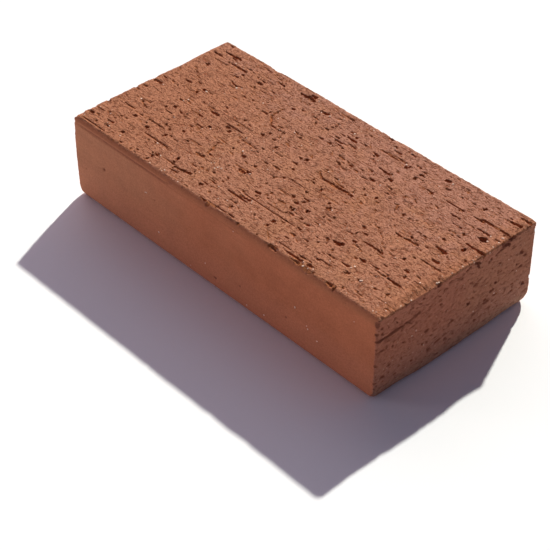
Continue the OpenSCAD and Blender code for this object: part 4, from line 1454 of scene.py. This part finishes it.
@dataclass
class Grit:
    """The pale grains of grog that stand in the clay, as one piece."""

    brick: bpy.types.Object
    cad: Brick
    finish: bpy.types.Material
    seed: int = 5
    extra: int = 40
    # How far a grain's middle stands out, in shares of its radius, and how its size on the top is scaled
    OUT = 0.05
    SIZE = 0.75
    RADIUS = (0.25, 0.5)
    # How far off the brick and how far down a grain looks for its place, in metres
    ABOVE, DOWN = 0.01, 0.02
    INPUTS = {"Geometry": "Geometry", "Seed": "Int", "Roughness": "Float", "Finish": "Material"}
    SUBDIVISIONS = 2
    FLATTEST, FULLEST = (0.8, 0.6, 0.35), (1.3, 1.0, 0.60)
    # The scale of the noise that roughens the grains, and how far it moves their skin, in mm
    KNOBS = 1400.0
    ROUGH = 0.35

    def spots(self) -> tuple[Array, Array, Array]:
        """Finds the grains' places on the brick.

        Returns:
            Where the grains lie, in metres, their radii, and the way out of their face.
        """
        rng = np.random.default_rng(self.seed)
        top, half_y, half_x = self.cad.height, self.cad.half_width, self.cad.half_length
        rows = [(x, y, top, r * self.SIZE, Face.TOP) for x, y, r in TOP_GRAINS]
        rows += [(x, -half_y, z, r, Face.FRONT) for x, z, r in STRETCHER_GRAINS]
        rows += [(half_x, y, z, r, Face.RIGHT) for y, z, r in HEADER_GRAINS]
        tears = self.cad.top.tear_ends
        for mark in tears[:: max(1, len(tears) // self.extra)]:
            rows.append((mark.u + mark.length, mark.v, top, rng.uniform(*self.RADIUS), Face.TOP))
        places, radii, outs = [], [], []
        for x, y, z, radius, face in rows:
            out = Vector(face.value)
            start = Vector((x, y, z)) * MM + out * self.ABOVE
            hit, point, _, _ = self.brick.ray_cast(start, -out, distance=self.DOWN)
            if hit:
                places.append(point + out * radius * self.OUT * MM)
                radii.append(radius * MM)
                outs.append(out)
        return np.array(places), np.array(radii), np.array(outs)

    def tree(self) -> bpy.types.NodeTree:
        """Makes the Geometry Nodes tree that sets a rough grain at every point.

        Returns:
            The tree, with the inputs Seed, Roughness and Finish.
        """
        tree = bpy.data.node_groups.new("grit", "GeometryNodeTree")
        tree.is_modifier = True
        for name, kind in self.INPUTS.items():
            tree.interface.new_socket(name, in_out="INPUT", socket_type=f"NodeSocket{kind}")
        tree.interface.new_socket("Geometry", in_out="OUTPUT", socket_type="NodeSocketGeometry")
        graph = NodeGraph(tree)
        sockets = graph.new("NodeGroupInput", {}, {}).outputs
        given = {name: Shade(graph, sockets[name]) for name in self.INPUTS}
        named, drawn = "GeometryNodeInputNamedAttribute", "FunctionNodeRandomValue"
        ball = graph.node("GeometryNodeMeshIcoSphere", {}, {"Radius": 1.0, "Subdivisions": self.SUBDIVISIONS})
        size = graph.node(named, {"data_type": "FLOAT"}, {"Name": "radius"}, "Attribute")
        out_of = graph.node(named, {"data_type": "FLOAT_VECTOR"}, {"Name": "out"}, "Attribute")
        stand_up = graph.node("FunctionNodeAlignRotationToVector", {"axis": "Z"}, {"Vector": out_of})
        share = graph.node(drawn, {"data_type": "FLOAT"}, {"Seed": given["Seed"]}, 1)
        round_up = {"Axis": (0, 0, 1), "Angle": share * math.tau}
        spin = graph.node("FunctionNodeAxisAngleToRotation", {}, round_up)
        both = {"Rotation": stand_up, "Rotate By": spin}
        turn = graph.node("FunctionNodeRotateRotation", {"rotation_space": "LOCAL"}, both)
        limits = {"Min": self.FLATTEST, "Max": self.FULLEST, "Seed": given["Seed"]}
        squash = graph.node(drawn, {"data_type": "FLOAT_VECTOR"}, limits)
        scale = graph.node("ShaderNodeVectorMath", {"operation": "SCALE"}, {0: squash, "Scale": size})
        stand = {"Points": given["Geometry"], "Instance": ball, "Rotation": turn, "Scale": scale}
        grains = graph.node("GeometryNodeInstanceOnPoints", {}, stand)
        grains = graph.node("GeometryNodeRealizeInstances", {}, {"Geometry": grains})
        noise = graph.node("ShaderNodeTexNoise", {}, {"Scale": self.KNOBS}, "Color")
        centred = {0: noise, 1: (0.5, 0.5, 0.5)}
        centre = graph.node("ShaderNodeVectorMath", {"operation": "SUBTRACT"}, centred)
        amount = {0: centre, "Scale": given["Roughness"]}
        shift = graph.node("ShaderNodeVectorMath", {"operation": "SCALE"}, amount)
        grains = graph.node("GeometryNodeSetPosition", {}, {"Geometry": grains, "Offset": shift})
        coat = {"Geometry": grains, "Material": given["Finish"]}
        grains = graph.node("GeometryNodeSetMaterial", {}, coat)
        graph.new("NodeGroupOutput", {}, {"Geometry": grains})
        return tree

    def make(self) -> bpy.types.Object:
        """Makes the piece.

        Returns:
            The object.
        """
        places, radii, outs = self.spots()
        mesh = bpy.data.meshes.new("grit")
        mesh.vertices.add(len(places))
        mesh.vertices.foreach_set("co", places.astype(np.float32).ravel())
        sizes = mesh.attributes.new("radius", "FLOAT", "POINT")
        sizes.data.foreach_set("value", radii.astype(np.float32))
        ways = mesh.attributes.new("out", "FLOAT_VECTOR", "POINT")
        ways.data.foreach_set("vector", outs.astype(np.float32).ravel())
        piece = link("grit", mesh)
        grow = piece.modifiers.new("grow", "NODES")
        grow.node_group = self.tree()
        given = {"Seed": self.seed, "Roughness": self.ROUGH * MM, "Finish": self.finish}
        for item in grow.node_group.interface.items_tree:
            if item.in_out == "INPUT" and item.name in given:
                grow[item.identifier] = given[item.name]
        piece = apply_modifiers(piece)
        LOG.info("grit: %d grains, %d triangles", len(places), len(piece.data.polygons))
        return piece


# ---------- Finishes ----------


class ShaderTree(NodeGraph):
    """The node tree of one material, with the patterns that the finishes use."""

    # How far marks that are drawn out along the wire's lines are stretched along each axis
    DRAWN_OUT = (1.0, 3.6, 0.9)

    def __init__(self, name: str) -> None:
        """Makes an empty material."""
        self.material = bpy.data.materials.new(name)
        self.material.use_nodes = True
        super().__init__(self.material.node_tree)

    def place(self) -> Shade:
        """Returns the Object coordinates."""
        return self.node("ShaderNodeTexCoord", {}, {}, "Object")

    def stretched(self, place: Shade, along: float) -> Shade:
        """Returns coordinates whose part along the brick is scaled, which draws a pattern out along it."""
        return self.node("ShaderNodeMapping", {}, {"Vector": place, "Scale": (along, 1.0, 1.0)})

    def slanted(self, place: Shade) -> Shade:
        """Returns the place drawn out along the lines that the wire leaves on an end."""
        turn = (math.radians(WIRE_LEAN), 0.0, 0.0)
        inputs = {"Vector": place, "Rotation": turn, "Scale": self.DRAWN_OUT}
        return self.node("ShaderNodeMapping", {"vector_type": "TEXTURE"}, inputs)

    def noise(self, place: Shade, size: float, detail: float = 2.0, rough: float = 0.5) -> Shade:
        """Returns noise, from about 0.2 to 0.8.

        Args:
            place: the coordinates that it lies on.
            size: how wide its marks are, in mm.
            detail: how many finer layers it has.
            rough: how strong those are.

        Returns:
            The noise.
        """
        inputs = {"Vector": place, "Scale": 1 / (size * MM), "Detail": detail, "Roughness": rough}
        return self.node("ShaderNodeTexNoise", {}, inputs)

    def axis(self, place: Shade, name: str) -> Shade:
        """Returns one coordinate of a place, in metres."""
        return self.node("ShaderNodeSeparateXYZ", {}, {"Vector": place}, name)

    def attribute(self, name: str) -> Shade:
        """Returns a number that the mesh keeps at each point."""
        return self.node("ShaderNodeAttribute", {"attribute_name": name}, {}, "Fac")

    def mix(self, share: Any, first: Any, second: Any) -> Shade:
        """Returns a mix of two colours, with that share of the second."""
        return self.node("ShaderNodeMix", {"data_type": "RGBA"}, {0: share, 6: first, 7: second}, 2)

    def scaled(self, colour: Shade, by: Shade) -> Shade:
        """Returns a colour made lighter or darker."""
        return self.node("ShaderNodeVectorMath", {"operation": "SCALE"}, {0: colour, "Scale": by})

    def varied(self, colour: Shade, amount: Shade, share: Colour) -> Shade:
        """Returns a colour whose channels are each made lighter or darker by a share of an amount."""
        gains = {name: 1.0 + amount * one for name, one in zip("XYZ", share)}
        by = self.node("ShaderNodeCombineXYZ", {}, gains)
        return self.node("ShaderNodeVectorMath", {"operation": "MULTIPLY"}, {0: colour, 1: by})

    def bump(self, height: Shade, distance: float) -> Shade:
        """Returns the normal of a fine relief, whose height of 1 stands for that distance in mm."""
        return self.node("ShaderNodeBump", {}, {"Height": height, "Distance": distance * MM})

    def principled(self, inputs: dict[str, Any]) -> bpy.types.Material:
        """Ends the tree in a Principled shader and returns the material."""
        shader = self.node("ShaderNodeBsdfPrincipled", {}, inputs)
        self.new("ShaderNodeOutputMaterial", {}, {"Surface": shader})
        return self.material


@dataclass(frozen=True)
class FiredClay:
    """The brick's finish: grainy where a wire cut it, smooth and redder where the die pressed it."""

    cut_red: Colour = (0.480, 0.196, 0.108)
    cut_orange: Colour = (0.490, 0.200, 0.102)
    cut_pink: Colour = (0.478, 0.205, 0.128)
    cut_tan: Colour = (0.466, 0.174, 0.078)
    cut_tawny: Colour = (0.486, 0.189, 0.095)
    end_red: Colour = (0.452, 0.160, 0.095)
    end_brown: Colour = (0.456, 0.177, 0.100)
    skin_red: Colour = (0.490, 0.158, 0.073)
    skin_tan: Colour = (0.510, 0.205, 0.104)
    # The strip along the front's upper edge: partly a darker skin, partly painted shade where the rounded
    # edge turns up, away from the light off the floor
    shaded_band: Colour = (0.455, 0.158, 0.073)
    # Painted light: the paler colour that the die skin turns towards near the bed stands for the light that
    # the floor throws up
    painted_bounce: Colour = (0.700, 0.270, 0.145)
    # Painted light: the greyer cast at the foot of the cut faces stands for the bluish light off the shadowed
    # floor
    foot: Colour = (0.460, 0.268, 0.178)
    # Painted light: the paler colour that the cut faces turn towards near the bed, as for the die skin
    painted_bounce_end: Colour = (0.530, 0.263, 0.186)
    # The tears' insides: partly the clay's own darker colour, partly painted shade and the reddened light
    # that bounces inside a hollow
    wall: Colour = (0.420, 0.135, 0.042)
    inside: Colour = (0.500, 0.150, 0.048)
    inside_end: Colour = (0.270, 0.084, 0.045)
    # The fine ticks and dents: dark brown, partly their own colour and partly painted shade for marks too
    # fine for the mesh to shadow
    tick: Colour = (0.330, 0.083, 0.027)
    pale: Colour = (0.760, 0.520, 0.390)

    # How much each channel follows the specks, which gives them a slight change of hue
    swing: Colour = (0.81, 1.0, 1.17)
    roughness: float = 0.9
    shine: float = 0.25
    # The distance in mm that a height of 1 of the fine relief stands for
    relief: float = 0.9
    # Heights above the bed between which the top begins, the painted light off the floor that pales the
    # lower faces thins out and the foot's greyer cast, also painted light, ends, and where along the brick
    # the tan strip at the header begins, all in metres
    top_edge: tuple[float, float] = (0.0500, 0.0512)
    dust_and_bounce: tuple[float, float] = (0.010, 0.030)
    footing: tuple[float, float] = (0.003, 0.011)
    tan_strip: tuple[float, float] = (0.104, 0.112)

    def make(self) -> bpy.types.Material:
        """Makes the material, from the broad colours down to the finest marks.

        Returns:
            The material.
        """
        tree = ShaderTree("fired_clay")
        place = tree.place()
        high = tree.axis(place, "Z")
        cut = tree.attribute("cut")
        on_top = high.step(*self.top_edge)
        grain = tree.noise(place, 0.9, 3.0, 0.8)
        patch = tree.noise(place, 22.0, 2.0)
        top = self.top(tree, place, grain, patch)
        back = (tree.axis(place, "Y") + (patch - 0.5) * 0.15).step(-0.04, 0.05)
        end = tree.mix(back, self.end_red, self.end_brown)
        colour = tree.mix(cut, self.skin(tree, place), tree.mix(on_top, end, top))
        # Painted light: the faces pale towards the bed, and the cut faces turn greyer at their foot, as if
        # lit from the floor
        painted_bounce = tree.mix(cut, self.painted_bounce, self.painted_bounce_end)
        colour = tree.mix(high.fall(*self.dust_and_bounce) * 0.34, colour, painted_bounce)
        colour = tree.mix(high.fall(*self.footing) * cut * 0.5, colour, self.foot)
        blot = (tree.noise(tree.stretched(place, 0.5), 1.8, 2.0) - 0.5) * (0.55 + 0.2 * on_top) * cut
        speck = (grain - 0.5) * (0.8 + (0.75 * on_top - 0.3) * cut) + blot
        colour = tree.varied(colour, speck, self.swing)
        flecks = tree.noise(place, 1.1, 1.0).step(0.70, 0.80) * cut
        colour = tree.mix(flecks * 0.6, colour, self.pale)
        # Painted shade: fine ticks and dents that the mesh is too coarse to hold get a dark colour where
        # their shadow would fall, besides their bump
        ticks = tree.noise(tree.stretched(place, 0.45), 0.8, 2.0, 0.6).step(0.545, 0.665) * on_top
        end_ticks = tree.noise(tree.slanted(place), 0.8, 2.0, 0.6).step(0.57, 0.70) * (1.0 - on_top)
        ticks = (ticks + end_ticks) * cut
        colour = tree.mix(ticks * 0.85, colour, self.tick)
        dents = tree.noise(tree.stretched(place, 0.40), 1.6, 3.0, 0.7).step(0.555, 0.65) * cut * on_top
        colour = tree.mix(dents * 0.75, colour, self.tick)
        # Partly painted shade: the insides of the tears are darkened
        colour = self.hollowed(tree, place, on_top, colour)
        height = grain * (0.15 + (0.35 + 0.25 * on_top) * cut) - ticks * 0.8 - dents * 0.8
        inputs = {
            "Base Color": colour,
            "Roughness": self.roughness,
            "Normal": tree.bump(height, self.relief),
            "Specular IOR Level": self.shine,
        }
        return tree.principled(inputs)

    def top(self, tree: ShaderTree, place: Shade, grain: Shade, patch: Shade) -> Shade:
        """Colours the skimmed top: patches of red and orange, pinker at the back, tan along the header.

        Args:
            tree: the material's tree.
            place: the Object coordinates.
            grain: noise as fine as the grain.
            patch: noise as wide as a patch.

        Returns:
            The colour.
        """
        along = tree.axis(place, "X")
        colour = tree.mix(patch.step(0.45, 0.65), self.cut_red, self.cut_orange)
        colour = tree.mix(along.fall(-0.08, -0.03), colour, self.cut_tawny)
        pinkish = tree.noise(place, 9.0, 2.0) * 0.6 + tree.axis(place, "Y") * 5.0 + along * 1.2
        colour = tree.mix(pinkish.step(0.32, 0.62), colour, self.cut_pink)
        dust_and_bounce = (along + (tree.noise(place, 5.0, 3.0) - 0.5) * 0.012).step(*self.tan_strip)
        return tree.mix(dust_and_bounce * (0.2 + 0.8 * grain), colour, self.cut_tan)

    def skin(self, tree: ShaderTree, place: Shade) -> Shade:
        """Colours the faces that the die pressed: redder, tan towards -X, with faint streaks along them, and
        darker along the front's upper edge, partly the skin's own colour and partly painted shade.

        Args:
            tree: the material's tree.
            place: the Object coordinates.

        Returns:
            The colour.
        """
        cloud = (tree.noise(place, 45.0, 3.0) - 0.5) * 0.16
        tan = (tree.axis(place, "X") * -1.0 + cloud).step(-0.03, 0.11)
        skin = tree.mix(tan, self.skin_red, self.skin_tan)
        blotch = tree.noise(place, 12.0, 3.0, 0.6)
        streaks = tree.noise(tree.stretched(place, 0.10), 2.6, 2.0)
        skin = tree.scaled(skin, 1.0 + (streaks - 0.5) * 0.16 + (blotch - 0.5) * 0.35)
        # Painted shade, partly the skin's own darker colour, along the front's upper edge
        return tree.mix(tree.attribute("shaded_band"), skin, self.shaded_band)

    def hollowed(self, tree: ShaderTree, place: Shade, on_top: Shade, colour: Shade) -> Shade:
        """Colours the insides of the tears, their walls and their deeper floors: darker and redder, partly
        the clay's own colour and partly painted shade and the reddened light that bounces inside a hollow.

        Args:
            tree: the material's tree.
            place: the Object coordinates.
            on_top: 1 on the top and 0 elsewhere.
            colour: the colour outside the tears.

        Returns:
            The colour.
        """
        hollow = tree.attribute("hollow")
        deep = (hollow * (0.4 + 1.2 * tree.noise(place, 0.7, 2.0, 0.7))).step(0.05, 0.36)
        floor = tree.mix(hollow.step(0.25, 0.70), self.wall, self.inside)
        return tree.mix(deep * 0.95, colour, tree.mix(on_top, self.inside_end, floor))


@dataclass(frozen=True)
class PaleGrit:
    """The finish of the grains: pale, with a pink and a tan cast here and there."""

    cream: Colour = (0.900, 0.680, 0.520)
    pink: Colour = (0.750, 0.440, 0.310)
    roughness: float = 0.55
    shine: float = 0.4

    def make(self) -> bpy.types.Material:
        """Makes the material.

        Returns:
            The material.
        """
        tree = ShaderTree("pale_grit")
        place = tree.place()
        colour = tree.mix(tree.noise(place, 6.0, 2.0).step(0.42, 0.62), self.cream, self.pink)
        inputs = {"Base Color": colour, "Roughness": self.roughness, "Specular IOR Level": self.shine}
        return tree.principled(inputs)


# ---------- Studio ----------


@dataclass(frozen=True)
class Lamp:
    """A far lamp.

    It has the direction that its light comes from, its strength, its width in degrees, which softens its
    shadow, and its colour.
    """

    name: str
    origin: tuple[float, float, float]
    strength: float
    width: float
    colour: Colour

    def make(self) -> None:
        """Puts the lamp into the scene."""
        data = bpy.data.lights.new(self.name, "SUN")
        data.energy = self.strength
        data.angle = math.radians(self.width)
        data.color = self.colour
        lamp = link(self.name, data)
        lamp.rotation_mode = "QUATERNION"
        lamp.rotation_quaternion = Vector(self.origin).to_track_quat("Z", "Y")


@dataclass
class Studio:
    """The floor, the lights and the camera."""

    azimuth: float = 47.35
    elevation: float = 39.23
    distance: float = 0.8856
    aim: tuple[float, float, float] = (0.0114, -0.0249, 0.0)
    lens: float = 110.4
    sensor: float = 36.0
    clip: tuple[float, float] = (0.01, 100.0)
    sky: Colour = (0.73, 0.70, 1.0)
    sky_strength: float = 0.155
    white: Colour = (1.0, 1.0, 1.0)
    floor_grey: Colour = (0.80, 0.80, 0.80)
    floor_size: float = 12.0
    # The key light, a wide warm glow from the left, and a low fill from the front left
    LAMPS = (
        Lamp("key", (-0.32, 0.757, 0.60), 4.42, 1.6, (0.99, 1.0, 0.92)),
        Lamp("glow", (-0.75, 0.5, 0.45), 0.88, 60.0, (1.0, 0.82, 0.91)),
        Lamp("fill", (-0.8, -0.6, 0.0), 1.44, 24.0, (1.0, 0.85, 0.93)),
    )

    def camera(self) -> None:
        """Makes the camera."""
        a, e = math.radians(self.azimuth), math.radians(self.elevation)
        back = Vector((math.sin(a) * math.cos(e), -math.cos(a) * math.cos(e), math.sin(e)))
        data = bpy.data.cameras.new("camera")
        data.lens = self.lens
        data.sensor_width = self.sensor
        data.clip_start, data.clip_end = self.clip
        camera = link("camera", data)
        camera.location = Vector(self.aim) + back * self.distance
        camera.rotation_mode = "QUATERNION"
        camera.rotation_quaternion = (-back).to_track_quat("-Z", "Y")
        bpy.context.scene.camera = camera

    def floor(self) -> None:
        """Makes the floor, which looks white where the light falls on it and keeps its shadow."""
        half = self.floor_size / 2
        mesh = bpy.data.meshes.new("floor")
        corners = [(-half, -half, 0), (half, -half, 0), (half, half, 0), (-half, half, 0)]
        mesh.from_pydata(corners, [], [(0, 1, 2, 3)])
        floor = link("floor", mesh)
        tree = ShaderTree("studio_floor")
        rays = tree.node("ShaderNodeLightPath", {}, {}, "Is Camera Ray")
        colour = tree.mix(rays, self.floor_grey, self.white)
        inputs = {"Base Color": colour, "Roughness": 1.0, "Specular IOR Level": 0.0}
        mesh.materials.append(tree.principled(inputs))

    def surroundings(self) -> None:
        """Makes the world: a soft pale light, which looks white where the camera sees past the floor."""
        world = bpy.data.worlds.new("surroundings")
        bpy.context.scene.world = world
        world.use_nodes = True
        graph = NodeGraph(world.node_tree)
        soft = graph.node("ShaderNodeBackground", {}, {"Color": self.sky, "Strength": self.sky_strength})
        white = graph.node("ShaderNodeBackground", {}, {"Color": self.white})
        rays = graph.node("ShaderNodeLightPath", {}, {}, "Is Camera Ray")
        both = graph.node("ShaderNodeMixShader", {}, {0: rays, 1: soft, 2: white})
        graph.new("ShaderNodeOutputWorld", {}, {"Surface": both})

    def make(self) -> None:
        """Makes all of it."""
        self.camera()
        self.floor()
        self.surroundings()
        for lamp in self.LAMPS:
            lamp.make()
        bpy.context.scene.view_settings.view_transform = "Standard"


def main() -> None:
    """Builds the pieces and their studio."""
    logging.basicConfig(level=logging.INFO, format="%(name)s: %(message)s")
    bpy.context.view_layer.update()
    Studio().make()
    cad = Brick(*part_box(NODE))
    brick = cad.make()
    brick.data.materials.append(FiredClay().make())
    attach(brick, BODY)
    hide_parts(NODE)
    LOG.info("brick: %d triangles", len(brick.data.polygons))
    grit = Grit(brick, cad, PaleGrit().make()).make()
    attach(grit, BODY)


if __name__ == "__main__":
    main()
